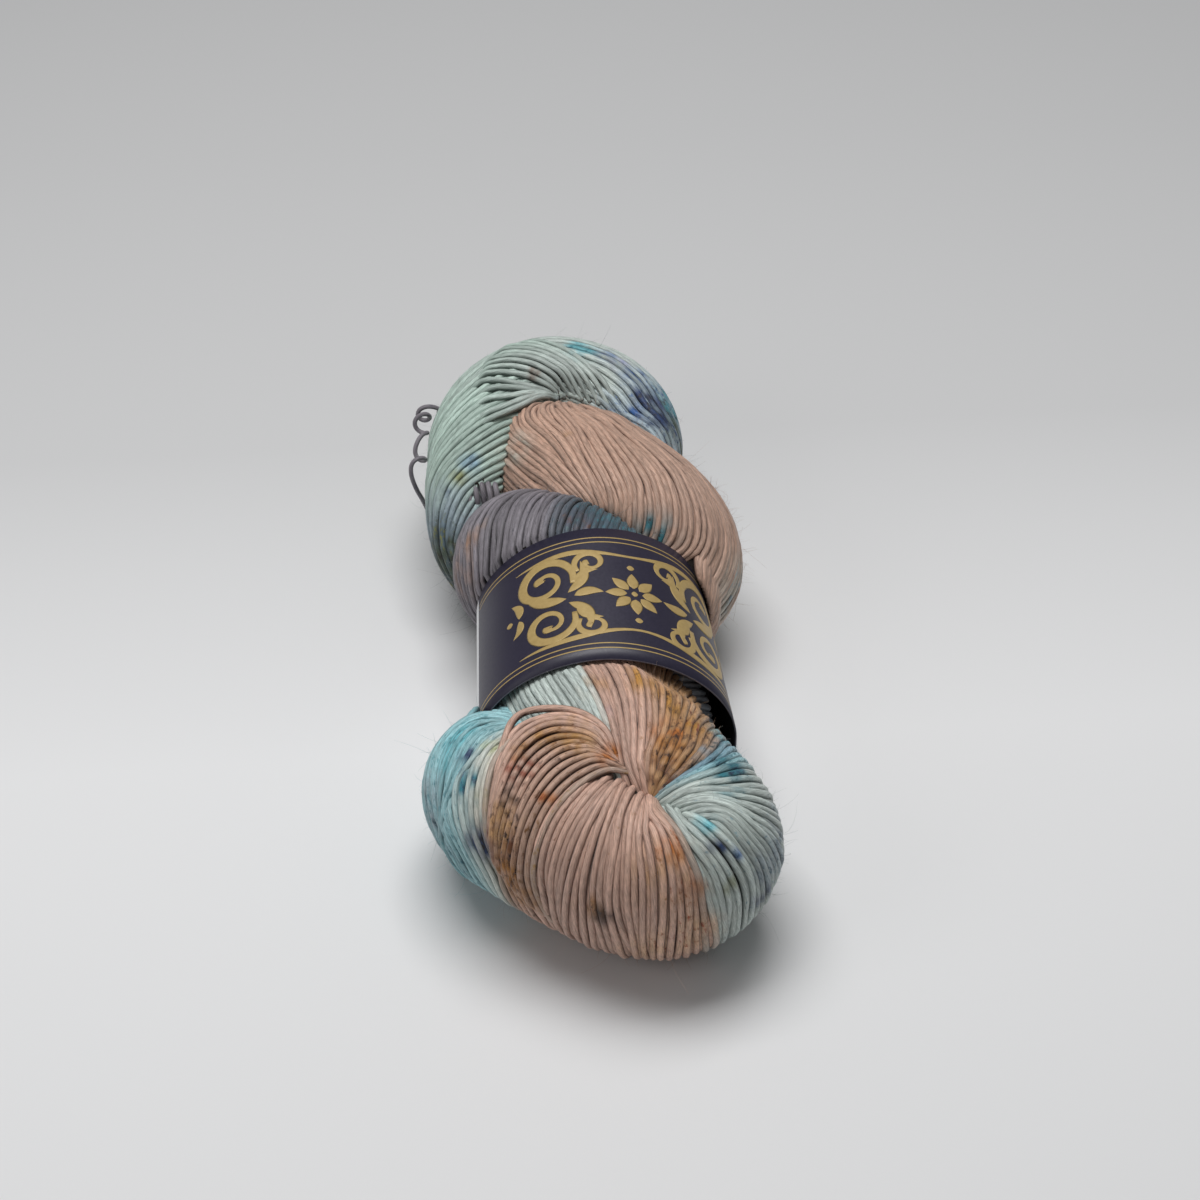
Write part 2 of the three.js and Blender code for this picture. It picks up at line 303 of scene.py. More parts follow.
# %% Point and outward direction on a ply's skin
def skin(stations, t, angle):
    t = np.clip(np.asarray(t, float), 0, len(stations) - 1)
    here = between(stations, t)
    ahead = between(stations, np.minimum(t + 0.02, len(stations) - 1))[..., :3]
    behind = between(stations, np.maximum(t - 0.02, 0))[..., :3]
    run = ahead - behind
    run /= np.linalg.norm(run, axis=-1, keepdims=True)
    out = here[..., :3] - here[..., 3:6]
    out -= (out * run).sum(-1, keepdims=True) * run
    out /= np.linalg.norm(out, axis=-1, keepdims=True)
    side = np.cross(run, out)
    c, s = np.cos(angle)[..., None], np.sin(angle)[..., None]
    w, h = here[..., 6:7], here[..., 7:8]
    point = here[..., :3] + w * c * out + h * s * side
    normal = c / w * out + s / h * side
    return point, normal / np.linalg.norm(normal, axis=-1, keepdims=True)


# %% [markdown]
# ## Where the rounds of yarn lie
# On the plies and the fold the yarn crosses the skin in arcs. An arc starts on the outside of the ply,
# climbs over the top and dives into the hollow between the plies. It doesn't go straight: the twist
# leans it along the ply. The table gives, for some arcs, how far each has moved along the ply at four
# angles, and the arcs between them are blended.

# %% Table of arcs: place at angle 0, then its shift at 30, 60, 90 and 120 degrees
ARCS = np.array(
    [
        [0.0, 0.10, 0.20, 0.30, 0.40],
        [3.4, 0.37, 0.74, 1.11, 1.40],
        [3.9, 0.29, 0.58, 0.87, 1.16],
        [4.5, 0.47, 0.94, 1.40, 1.80],
        [5.0, 0.58, 1.15, 1.73, 2.20],
        [8.0, 0.50, 1.00, 1.50, 1.90],
        [11.46, 0.50, 1.00, 1.50, 1.90],
        [12.03, 0.42, 0.83, 1.25, 1.60],
        [12.95, 0.29, 0.42, 0.52, 0.60],
        [13.85, 0.00, -0.05, -0.28, -0.35],
        [14.48, 0.03, -0.09, -0.50, -0.80],
        [15.14, -0.06, -0.22, -0.80, -1.10],
        [15.69, -0.12, -0.18, -0.23, -0.40],
        [16.04, -0.01, 0.00, 0.22, 0.80],
        [16.48, -0.03, 0.00, 0.24, 0.95],
        [16.75, 0.01, 0.10, 0.35, 0.70],
        [17.00, 0.15, 0.32, 0.62, 0.75],
        [17.31, 0.20, 0.36, 0.50, 0.64],
        [18.00, 0.03, 0.05, 0.06, 0.10],
        [18.27, 0.20, 0.25, 0.20, 0.20],
        [18.50, 0.38, 0.58, 0.64, 0.65],
        [18.90, 0.42, 0.66, 0.80, 0.87],
        [19.90, 0.32, 0.50, 0.70, 0.75],
        [20.25, 0.24, 0.43, 0.55, 0.65],
        [21.0, 0.20, 0.40, 0.50, 0.60],
        [24.0, 0.20, 0.40, 0.60, 0.80],
        [27.1, 0.19, 0.39, 0.58, 0.75],
        [28.0, 0.15, 0.30, 0.50, 0.70],
        [33.0, 0.10, 0.20, 0.30, 0.40],
    ]
)
SPACING = 1.95
YARN_RADIUS = 0.92
KNOTS = (-180, -100, -40, 0, 30, 60, 90, 120, 180)


def arc_shift(u, degrees):
    """Shift along the ply of the arcs u at the angles, from the table, as a grid."""
    columns = np.array([np.interp(u, ARCS[:, 0], ARCS[:, k]) for k in (1, 2, 3, 4)])
    early = ease((13.6 - u) / 1.2)
    low = -columns[0] * (0.5 + 1.9 * early)
    table = np.vstack(
        [low * (0.3 + 0.7 * early), low, low * (0.6 - 0.04 * early), 0 * low, columns, columns[3] + 0.1]
    )
    return np.array([through(degrees, KNOTS, table[:, i]) for i in range(len(u))])


fine = np.linspace(0.3, 32.6, 4000)
outer = [skin(PLIES, fine, np.full(fine.shape, math.radians(a)))[0] for a in (-25, 5, 35)]
pace = np.mean([np.linalg.norm(np.diff(o, axis=0), axis=1) for o in outer], axis=0)
walked = np.concatenate([[0], np.cumsum(pace)])
arc_starts = np.interp(np.arange(0, walked[-1], SPACING), walked, fine)
print(len(arc_starts), "arcs over", round(walked[-1]), "mm of ply")

# %% [markdown]
# ## The band's outline
# The paper band sits tight round the waist, so its outline is needed before the yarn is laid: threads
# under it have to stay inside. Its section is a superellipse, a circle pushed a little towards a
# rectangle, and its two edges lean and skew, as a sleeve does that was slipped on by hand.

# %% Outline of the paper band
BAND = {"above": 1.9, "below": 2.6, "top": 50.2}
BAND_WIDTH = 46.4
NEAR_EDGE = {"y": -53.8, "half": 30.7, "mid": 2.05, "lean": -0.11, "skew": -0.03}
FAR_EDGE = {"y": -7.45, "half": 28.25, "mid": 1.5, "lean": -0.04, "skew": 0.034}


def band_power(up):
    return np.where(up > 0, BAND["above"], BAND["below"])


def band_edge(edge, x, up):
    return edge["y"] + edge["skew"] * (x - edge["mid"]) - edge["lean"] * up


def band_point(angle, across, inset=0.0):
    """Point of the band: angle round it, across 0 at its near edge and 1 at its far edge."""
    angle, across = np.broadcast_arrays(np.asarray(angle, float), np.asarray(across, float))
    power = 2 / band_power(np.sin(angle))
    c = np.sign(np.cos(angle)) * np.abs(np.cos(angle)) ** power
    s = np.sign(np.sin(angle)) * np.abs(np.sin(angle)) ** power
    half = NEAR_EDGE["half"] * (1 - across) + FAR_EDGE["half"] * across - inset
    mid = NEAR_EDGE["mid"] * (1 - across) + FAR_EDGE["mid"] * across
    x, up = half * c, (BAND["top"] / 2 - inset) * s
    y0 = NEAR_EDGE["y"] + NEAR_EDGE["skew"] * x - NEAR_EDGE["lean"] * up
    y1 = FAR_EDGE["y"] + FAR_EDGE["skew"] * x - FAR_EDGE["lean"] * up
    return np.stack([mid + x, y0 + (y1 - y0) * across, BAND["top"] / 2 + up], -1)


def under_band(points):
    """How far inside the band's two edges each point is, in mm; negative is outside."""
    up = points[..., 2] - BAND["top"] / 2
    near = points[..., 1] - band_edge(NEAR_EDGE, points[..., 0], up)
    far = band_edge(FAR_EDGE, points[..., 0], up) - points[..., 1]
    return np.minimum(near, far)


def band_depth(points, inset):
    """The point's size next to the band's section: 1 is on it, less is inside. Also its middle."""
    across = np.clip((points[..., 1] - NEAR_EDGE["y"]) / BAND_WIDTH, 0, 1)
    half = NEAR_EDGE["half"] * (1 - across) + FAR_EDGE["half"] * across - inset
    mid = NEAR_EDGE["mid"] * (1 - across) + FAR_EDGE["mid"] * across
    dx, dz = points[..., 0] - mid, points[..., 2] - BAND["top"] / 2
    power = band_power(dz)
    high = BAND["top"] / 2 - inset
    return (np.abs(dx / half) ** power + np.abs(dz / high) ** power) ** (1 / power), mid


def beside_band(points):
    """True for points that lie further out than the band's side, as the lobes behind it do."""
    return band_depth(points, 0.0)[0] > 1.09


def keep_clear_of_band(points, inset, radius):
    """Pull points under the band inwards, and points beside it outwards, until they clear the paper."""
    under = under_band(points)
    drop = 2.6 * ease((points[..., 0] - 6) / 12) * ease((-40 - points[..., 1]) / 8)
    q, mid = band_depth(points, inset)
    weight = ease((under + 1.3 + 3.0 * drop) / (1.6 + 3.0 * drop))
    scale = 1 - weight * (1 - (1 - drop / 25) / np.maximum(q, 1.0 - drop / 25))
    q_out, _ = band_depth(points, -radius - 0.15)
    scale = np.where(beside_band(points) & (under > -1.3), 1 / np.minimum(q_out, 1.0), scale)
    moved = points.copy()
    moved[..., 0] = mid + (points[..., 0] - mid) * scale
    moved[..., 2] = BAND["top"] / 2 + (points[..., 2] - BAND["top"] / 2) * scale
    return moved


print("band top", BAND["top"], "mm")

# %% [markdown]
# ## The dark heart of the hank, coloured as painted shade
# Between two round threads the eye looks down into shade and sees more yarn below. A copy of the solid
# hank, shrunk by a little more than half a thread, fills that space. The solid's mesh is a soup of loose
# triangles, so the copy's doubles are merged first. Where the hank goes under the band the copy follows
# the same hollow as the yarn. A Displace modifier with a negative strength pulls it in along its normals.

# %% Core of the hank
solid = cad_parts["hank"]
core_mesh = bpy.data.meshes.new("hank_core")
bm = bmesh.new()
bm.from_mesh(solid.data)
bm.transform(solid.matrix_world)
bmesh.ops.remove_doubles(bm, verts=bm.verts, dist=1e-5)
hank_tree = BVHTree.FromBMesh(bm)
corners = np.array([vert.co for vert in bm.verts]) * 1000 - SHIFT
for vert, place in zip(bm.verts, in_frame(keep_clear_of_band(corners, 2.2, 0.0))):
    vert.co = Vector(place)
bm.to_mesh(core_mesh)
bm.free()
core = show("hank_core", core_mesh)
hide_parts("hank")
sink = core.modifiers.new("sink", "DISPLACE")
sink.mid_level = 0.0
sink.strength = -0.0013
print("core", len(core_mesh.polygons), "faces")

# %% [markdown]
# Some places on the hank are easiest to give as the camera sees them: so many parts across its picture and
# so many down, of 1200. A ray from the camera finds the place on the hank, in mm to one decimal.

# %% Places seen through the camera
PICTURE_PARTS = 1200
FILM_SIDE = 36


def seen_at(across, down):
    x = (across - PICTURE_PARTS / 2) / PICTURE_PARTS * FILM_SIDE / LENS
    y = -(down - PICTURE_PARTS / 2) / PICTURE_PARTS * FILM_SIDE / LENS
    ray = (LOOK_AT - EYE_AT).to_track_quat("-Z", "Y") @ Vector((x, y, -1))
    hit = hank_tree.ray_cast(EYE_AT, ray.normalized())[0]
    return [round(value * 1000 - shift, 1) for value, shift in zip(hit, SHIFT)]


print("under the middle of the picture", seen_at(PICTURE_PARTS / 2, PICTURE_PARTS / 2))

# %% [markdown]
# ## Laying the yarn
# Each arc is sampled every few degrees on the skin and sunk by about one radius, so its crest lies on
# the skin. Hand winding isn't regular, so each thread gets its own slow waver and height. Where arcs
# crowd together, every second one sinks under its neighbours, which is what real threads do. Where they
# spread apart, more threads come up between them from the layer below.

# %% How threads waver, crowd and fill gaps
rng = np.random.default_rng(7)
degrees = np.arange(-176.0, 176.1, 4.0)


def depth_in_hank(points):
    """Depth under the hank's surface in mm, for each point; negative is outside."""
    deep = np.empty(len(points))
    for i, p in enumerate(in_frame(points)):
        near, normal, _, distance = hank_tree.find_nearest(Vector(p))
        deep[i] = distance * 1000 if (Vector(p) - near).dot(normal) < 0 else -distance * 1000
    return deep


def waver(rng, count, x, size):
    """One smooth random line per thread."""
    total = np.zeros((count, len(x)))
    for k, share in ((1, 0.6), (2, 0.3), (3.7, 0.25)):
        phase = rng.uniform(0, 2 * np.pi, (count, 1))
        total += share * rng.normal(0, 1, (count, 1)) * np.sin(k * x[None, :] + phase)
    return size * total


def crowding(points):
    """Sink for every second thread where neighbours come closer than their width, in mm."""
    gap = np.linalg.norm(np.diff(points, axis=0), axis=2)
    gap = np.vstack([gap, gap[-1:]])
    near = np.minimum(gap, np.vstack([gap[:1], gap[:-1]]))
    sink = np.clip(1.8 - near, 0, 1.3)
    sink[::2] *= 0.1
    return sink


def with_fillers(t, angle, points, widest=2.15):
    """Add threads between neighbours that part where they can be seen, and how deep all of them lie."""
    seen = np.array([depth_in_hank(line) < 1.2 for line in points]) & (under_band(points) < 4.0)
    base_sink = crowding(points)
    rows, turns, sinks = [t[0]], [angle[0]], [base_sink[0]]
    for i in range(len(t) - 1):
        gap = np.linalg.norm(points[i + 1] - points[i], axis=1)
        show_gap = gap[seen[i] | seen[i + 1]]
        extra = 0 if len(show_gap) == 0 else min(3, max(0, math.ceil(show_gap.max() / widest) - 1))
        for j in range(extra):
            share = (j + 1) / (extra + 1)
            rows.append(t[i] * (1 - share) + t[i + 1] * share)
            turns.append(angle[i] * (1 - share) + angle[i + 1] * share)
            sinks.append(np.clip(1.8 - gap / (extra + 1), 0, 1.5))
        rows.append(t[i + 1])
        turns.append(angle[i + 1])
        sinks.append(base_sink[i + 1])
    return np.array(rows), np.array(turns), np.array(sinks)


def lay(stations, t, angle, sink, slow):
    """Lines of yarn on the skin, each with its own height, and the direction out of the skin."""
    points, out = skin(stations, t, angle)
    height = -0.92 + waver(rng, len(t), slow, 0.14) + rng.normal(0, 0.10, (len(t), 1)) - sink
    return points + out * height[..., None], out


# %% Arcs on the plies and the fold
base_t = arc_starts[:, None] + arc_shift(arc_starts, degrees)
base_t += waver(rng, len(arc_starts), np.radians(degrees), 0.025)
base_angle = np.tile(np.radians(degrees), (len(arc_starts), 1))
base_points, _ = skin(PLIES, base_t, base_angle)
arc_t, arc_angle, arc_sink = with_fillers(base_t, base_angle, base_points)
arc_points, arc_out = lay(PLIES, arc_t, arc_angle, arc_sink, np.radians(degrees))
print(len(base_t), "arcs and", len(arc_t) - len(base_t), "fillers")

# %% [markdown]
# Round the far eye the yarn runs the long way, from under the right side, over the far end and down the
# left. Its threads keep their places round the section, which slowly turns with the twist.

# %% Threads along the far eye
EYE_TURN = np.array(
    [
        [0, 100],
        [0.7, 70],
        [1.4, 35],
        [1.82, 9],
        [2.47, 1],
        [3.2, 0],
        [4.16, 8],
        [4.9, 15],
        [5.51, 26],
        [6.01, 40],
        [6.42, 56],
        [6.91, 73],
        [8, 110],
        [9, 140],
        [10, 165],
    ]
)
EYE_THREADS = 40
eye_t = np.linspace(0.05, 9.95, 120)
eye_round = np.linspace(0, 360, EYE_THREADS, endpoint=False)
eye_turned = np.radians(through(eye_t, EYE_TURN[:, 0], EYE_TURN[:, 1]))
base_t = np.tile(eye_t, (EYE_THREADS, 1))
base_angle = np.radians(eye_round)[:, None] + eye_turned[None, :] + waver(rng, EYE_THREADS, eye_t, 0.015)
base_points, _ = skin(FAR_EYE, base_t, base_angle)
eye_grid, eye_angle, eye_sink = with_fillers(base_t, base_angle, base_points)
eye_points, eye_out = lay(FAR_EYE, eye_grid, eye_angle, eye_sink, eye_t)
print(EYE_THREADS, "threads and", len(eye_grid) - EYE_THREADS, "fillers")


# %% [markdown]
# Now the lines are cut where they can't be seen. What is left of a line, if it is long enough, becomes
# one run of yarn whose ends go under its neighbours. Every run keeps the direction out of the skin. In
# the tight inner bend of the eye the lines would double back, so they are cut there and dive.


# %% Keep what can be seen
def cut_runs(points, out, t, angle, sink, heading=None, deepest=2.6, shortest=4):
    """Split a grid of lines into the runs that show."""
    runs = []
    for i in range(len(points)):
        line = keep_clear_of_band(points[i], 2.45, YARN_RADIUS)
        line[:, 2] = np.maximum(line[:, 2], 1.2 * YARN_RADIUS)
        side, under = beside_band(points[i]), under_band(line)
        seen = (depth_in_hank(points[i]) < deepest) & (side | (under < 8.0)) & (sink[i] < 1.45)
        seen[1:] &= (side[1:] == side[:-1]) | (under[1:] < -0.6)
        if heading is not None:
            pace = (np.diff(points[i], axis=0) * heading).sum(1)
            seen[1:] &= pace > 0.25
        edges = np.flatnonzero(np.diff(np.r_[0, seen.astype(int), 0]))
        for a, b in zip(edges[::2], edges[1::2]):
            if b - a >= shortest:
                run = {"points": line[a:b], "out": out[i][a:b], "t": t[i][a:b], "angle": angle[i][a:b]}
                runs.append(run | {"start": float(t[i][len(degrees) // 2]), "sink": sink[i][a:b]})
    return runs


ply_runs = cut_runs(arc_points, arc_out, arc_t, arc_angle, arc_sink)
eye_heading = np.diff(between(FAR_EYE, eye_t)[:, :3], axis=0)
eye_heading /= np.linalg.norm(eye_heading, axis=1, keepdims=True)
eye_runs = cut_runs(eye_points, eye_out, eye_grid, eye_angle, eye_sink, eye_heading)
print(len(ply_runs), "runs on the plies,", len(eye_runs), "on the eye")

# %% [markdown]
# The band squeezes the yarn it goes round, so the lobes end in a step beside it: at its far edge on the
# right and at its near edge on the left. The threads that reach a step turn in along it to the paper.


# %% Turn the threads in beside the band
# the way a step faces, its range across and along the hank, and how much a thread's tip rises
STEPS = [(1, (25, 45), (-13, -3.5), -3.2), (-1, (-45, -22), (-62, -49), -0.6)]
UNDER_PAPER = -30.0
TO_FACE = 0.85
BEYOND_PAPER = 1.15
BAND_MIDDLE = BAND["top"] / 2


def step_face(p, facing):
    """Put a place just in front of the step: a ray from the middle of the band finds its face."""
    hit = hank_tree.ray_cast(Vector(in_frame(np.array([p[0], UNDER_PAPER, p[2]]))), Vector((0, facing, 0)))[0]
    if hit is not None:
        p[1] = facing * min(facing * p[1], facing * (hit.y * 1000 - SHIFT[1]) - TO_FACE)
    return p


def turn_in(run, facing, drop):
    p, before = run["points"][-1], run["points"][-3]
    c = step_face(p + 1.5 * (p - before) / np.linalg.norm(p - before), facing)
    aim = p + [0.0, -1.3 * facing, drop]
    q, mid = band_depth(aim[None], -BEYOND_PAPER)
    x = mid[0] + (aim[0] - mid[0]) / q[0]
    z = BAND_MIDDLE + (aim[2] - BAND_MIDDLE) / q[0]
    aim = step_face(np.array([x, aim[1], z]), facing)
    u = np.linspace(0.16, 1.0, 6)[:, None]
    tip = (1 - u) ** 2 * p + 2 * u * (1 - u) * c + u**2 * aim
    tip[:, 2] = np.maximum(tip[:, 2], 1.2 * YARN_RADIUS)
    out = (1 - u) * run["out"][-1] + u * np.array([0.25 * facing, -0.95 * facing, 0.2])
    run["points"] = np.vstack([run["points"], tip])
    run["out"] = np.vstack([run["out"], out / np.linalg.norm(out, axis=1, keepdims=True)])
    for key in ("t", "angle", "sink"):
        run[key] = np.r_[run[key], np.full(6, run[key][-1])]


turned_in = 0
for run in ply_runs:
    for _ in range(2):
        p = run["points"][-1]
        for facing, (left, right), (near, far), drop in STEPS:
            if left < p[0] < right and near < p[1] < far and band_depth(p[None], 0.0)[0][0] > 1.08:
                turn_in(run, facing, drop)
                turned_in += 1
        for key in ("points", "out", "t", "angle", "sink"):
            run[key] = run[key][::-1]
print(turned_in, "threads turned in")

# %% [markdown]
# ## Dye
# The yarn was painted by hand with soft pink, pale aqua, mint and lavender grey, and then specked with
# powder. Neighbouring rounds were dyed together, so the ground colour is written down by the place along
# the ply, or along the eye. Each row has that place, the ground, the colour of its specks and how many
# there are. The names make the recipe easy to read and to change.


# %% Dye pot
def srgb(code):
    value = np.array([int(code[i : i + 2], 16) for i in (0, 2, 4)]) / 255.0
    return np.where(value <= 0.04045, value / 12.92, ((value + 0.055) / 1.055) ** 2.4)


POT = {
    "pink": "d8b19e",
    "beige": "cda893",
    "peach": "d8b08c",
    "cream": "dcd6c8",
    "tan": "c79a6c",
    "gold": "c08a3c",
    "ochre": "a9702e",
    "orange": "c4711f",
    "rust": "9a3d0e",
    "brown": "744222",
    "umber": "3f2011",
    "ink": "1c1416",
    "mint": "b6cbc0",
    "pale": "c8d3cd",
    "aqua": "a3d2d8",
    "turquoise": "6fbcc6",
    "teal": "357f8c",
    "navy": "1d3764",
    "blue": "2b5d9c",
    "purple": "6b66a6",
    "sky": "8fb2c6",
    "slate": "4c5f6c",
    "mist": "a0b0b8",
    "grey": "868087",
    "dusk": "5b5a66",
    "moss": "3f4c34",
    "olive": "8a8a3c",
    "lime": "c3c98c",
}
PLY_DYE = [
    (0.0, "beige", "brown", 0.06),
    (6.2, "beige", "brown", 0.06),
    (6.7, "cream", "mist", 0.12),
    (7.6, "pale", "slate", 0.15),
    (11.5, "pale", "sky", 0.12),
    (11.62, "pink", "purple", 0.06),
    (12.2, "pink", "ochre", 0.22),
    (12.6, "tan", "umber", 0.34),
    (13.35, "tan", "umber", 0.44),
    (13.5, "sky", "teal", 0.40),
    (13.9, "aqua", "teal", 0.45),
    (14.15, "pale", "teal", 0.22),
    (15.1, "pale", "sky", 0.22),
    (15.75, "pale", "teal", 0.24),
    (16.05, "pale", "sky", 0.18),
    (16.15, "beige", "ochre", 0.30),
    (16.4, "pink", "rust", 0.30),
    (16.7, "pink", "ochre", 0.16),
    (17.9, "pink", "brown", 0.12),
    (18.3, "pink", "brown", 0.28),
    (18.75, "beige", "umber", 0.38),
    (18.98, "beige", "ochre", 0.36),
    (19.08, "cream", "lime", 0.22),
    (19.35, "pale", "sky", 0.22),
    (19.7, "aqua", "teal", 0.38),
    (20.3, "aqua", "turquoise", 0.40),
    (20.9, "aqua", "sky", 0.15),
    (22.0, "mist", "slate", 0.25),
    (24.5, "grey", "dusk", 0.30),
    (25.7, "slate", "teal", 0.40),
    (26.3, "slate", "teal", 0.40),
    (26.6, "grey", "dusk", 0.25),
    (27.8, "grey", "dusk", 0.20),
    (28.4, "grey", "brown", 0.20),
    (33.0, "grey", "brown", 0.20),
]
EYE_DYE = [
    (0.0, "mist", "teal", 0.20),
    (1.3, "mist", "navy", 0.34),
    (2.2, "mist", "blue", 0.34),
    (2.9, "pale", "sky", 0.16),
    (4.0, "pale", "slate", 0.05),
    (6.0, "mint", "slate", 0.05),
    (7.6, "mint", "slate", 0.10),
    (8.4, "mist", "slate", 0.30),
    (9.2, "slate", "olive", 0.40),
    (10.0, "moss", "umber", 0.50),
]


def dye_at(table, place):
    places = np.array([row[0] for row in table])
    ground = np.array([srgb(POT[row[1]]) for row in table])
    fleck = np.array([srgb(POT[row[2]]) for row in table])
    amount = np.array([row[3] for row in table])
    pick = lambda values: np.interp(place, places, values)
    return (
        np.stack([pick(ground[:, k]) for k in range(3)], -1),
        np.stack([pick(fleck[:, k]) for k in range(3)], -1),
        pick(amount),
    )


print(len(POT), "colours,", len(PLY_DYE) + len(EYE_DYE), "rows of ground colour")

# %% [markdown]
# Over the ground come the splashes. A splash has a middle in space, a reach in millimetres, the colour
# it lays down, the colour of its darkest specks and its strength. It colours the threads that pass near
# its middle, each a little differently, so it breaks up into streaks as it does on wound yarn. A row
# starts with the middle, in mm, or with `seen_at` where it is given as the camera sees it.

# %% Splashes of dye, and one of painted shade
SPLASHES_AND_PAINTED_SHADE = [
    # the front of the near fold
    (-18.6, -79.5, 44.8, 3.6, "rust", "umber", 0.9),
    (-21.3, -86.0, 41.5, 3.6, "umber", "ink", 0.9),
    (*seen_at(503, 842), 4.4, "brown", "ink", 0.9),
    (*seen_at(510, 868), 4.6, "ochre", "umber", 0.6),
    (-18.0, -74.5, 43.5, 3.6, "ochre", "umber", 0.6),
    (-20.6, -96.6, 23.5, 5.0, "ochre", "umber", 0.55),
    (-24.8, -88.6, 37.5, 5.5, "tan", "umber", 0.6),
    (-8.0, -70.6, 47.6, 5.5, "tan", "ochre", 0.5),
    (*seen_at(545, 742), 4.5, "gold", "ochre", 0.5),
    (*seen_at(580, 748), 5.0, "gold", "ochre", 0.45),
    (0.4, -78.3, 46.3, 3.0, "orange", "umber", 0.7),
    (*seen_at(547, 800), 2.2, "orange", "rust", 0.8),
    (*seen_at(672, 850), 3.0, "orange", "rust", 0.65),
    (*seen_at(697, 893), 3.2, "orange", "rust", 0.6),
    (*seen_at(678, 905), 2.6, "ochre", "rust", 0.5),
    (10.9, -106.8, 39.5, 8.0, "tan", "ochre", 0.35),
    # painted shade: umber and ink low on the front of the fold, which faces away from the light
    (*seen_at(604, 918), 3.2, "umber", "ink", 0.8),
    (-6.5, -106.2, 29.0, 3.5, "ochre", "umber", 0.45),
    (*seen_at(690, 935), 8.0, "peach", "rust", 0.5),
    (7.4, -109.5, 15.5, 8.0, "peach", "rust", 0.5),
    (1.0, -92.0, 47.0, 7.0, "pink", "pink", 0.5),
    # behind the pinch
    (-1.0, -58.5, 49.9, 3.5, "gold", "ochre", 0.4),
    (10.6, -57.2, 48.8, 5.0, "gold", "umber", 0.55),
    (*seen_at(668, 700), 4.5, "gold", "umber", 0.7),
    (14.6, -73.7, 49.4, 4.5, "orange", "umber", 0.7),
    (14.6, -79.7, 48.6, 4.5, "ochre", "umber", 0.85),
    (*seen_at(660, 772), 4.0, "brown", "ink", 0.85),
    (*seen_at(690, 705), 4.0, "peach", "rust", 0.5),
    (21.2, -69.8, 46.0, 3.6, "gold", "rust", 0.6),
    (*seen_at(612, 712), 1.3, "purple", "navy", 0.6),
    # right of the near fold
    (*seen_at(722, 735), 4.0, "turquoise", "navy", 0.6),
    (21.6, -79.2, 47.4, 3.0, "sky", "navy", 0.5),
    (28.3, -81.9, 45.0, 4.5, "teal", "navy", 0.7),
    (26.0, -87.3, 46.4, 4.0, "teal", "ink", 0.6),
    (*seen_at(705, 822), 2.6, "turquoise", "teal", 0.7),
    (*seen_at(716, 850), 2.4, "navy", "ink", 0.8),
    (*seen_at(738, 852), 1.8, "blue", "navy", 0.7),
    (*seen_at(733, 885), 2.2, "olive", "olive", 0.5),
    (33.5, -101.5, 24.4, 4.0, "navy", "ink", 0.7),
    (*seen_at(782, 840), 8.0, "mist", "slate", 0.8),
    (*seen_at(770, 865), 6.0, "mist", "slate", 0.6),
    # left of the near fold
    (*seen_at(460, 735), 5.0, "turquoise", "teal", 0.7),
    (-35.4, -67.8, 38.0, 4.0, "turquoise", "aqua", 0.6),
    (-31.7, -69.4, 40.7, 2.4, "navy", "navy", 0.75),
    (-31.2, -76.6, 39.9, 3.4, "teal", "navy", 0.8),
    (-30.6, -83.6, 35.9, 3.6, "teal", "navy", 0.7),
    (-29.6, -88.4, 31.1, 4.2, "navy", "ink", 0.85),
    (-36.2, -80.4, 18.3, 6.5, "slate", "navy", 0.6),
    (-34.5, -84.0, 12.0, 5.0, "turquoise", "teal", 0.7),
    (-39.5, -72.0, 26.0, 8.0, "mist", "slate", 0.5),
    (*seen_at(488, 745), 2.4, "lime", "olive", 0.6),
    (-28.3, -81.3, 40.0, 1.6, "olive", "umber", 0.6),
    # the far eye
    (5.0, 70.5, 43.0, 4.0, "turquoise", "teal", 0.85),
    (11.5, 68.5, 43.0, 3.0, "blue", "purple", 0.5),
    (*seen_at(620, 362), 3.0, "purple", "navy", 0.6),
    (*seen_at(635, 375), 3.4, "blue", "navy", 0.8),
    (21.5, 54.4, 40.2, 4.2, "navy", "ink", 0.85),
    (*seen_at(660, 415), 4.0, "navy", "ink", 0.85),
    (27.5, 57.0, 34.0, 6.0, "teal", "moss", 0.75),
    (29.5, 48.0, 30.0, 7.0, "moss", "navy", 0.7),
    (*seen_at(635, 413), 2.6, "blue", "navy", 0.6),
    (*seen_at(533, 375), 1.8, "brown", "umber", 0.4),
    (*seen_at(470, 463), 2.6, "sky", "navy", 0.7),
    (*seen_at(459, 478), 2.0, "olive", "olive", 0.7),
    (*seen_at(450, 492), 2.0, "navy", "ink", 0.7),
    (-34.8, 15.5, 24.5, 5.5, "moss", "ink", 0.85),
    (*seen_at(437, 530), 4.5, "slate", "olive", 0.6),
    # the lobes beside the band
    (*seen_at(515, 450), 5.0, "cream", "beige", 0.5),
    (38.3, -4.3, 22.7, 9.0, "cream", "mist", 0.85),
    (*seen_at(568, 433), 1.4, "gold", "ochre", 0.5),
    (-29.7, 2.2, 30.0, 7.0, "beige", "dusk", 0.35),
    (*seen_at(481, 524), 1.6, "gold", "ochre", 0.6),
    (*seen_at(470, 540), 3.0, "ochre", "dusk", 0.25),
    (*seen_at(482, 584), 2.0, "umber", "ink", 0.7),
    (*seen_at(610, 515), 4.0, "teal", "dusk", 0.5),
    (*seen_at(655, 530), 5.5, "teal", "ink", 0.55),
    (-1.5, -3.2, 49.7, 4.5, "dusk", "brown", 0.6),
]


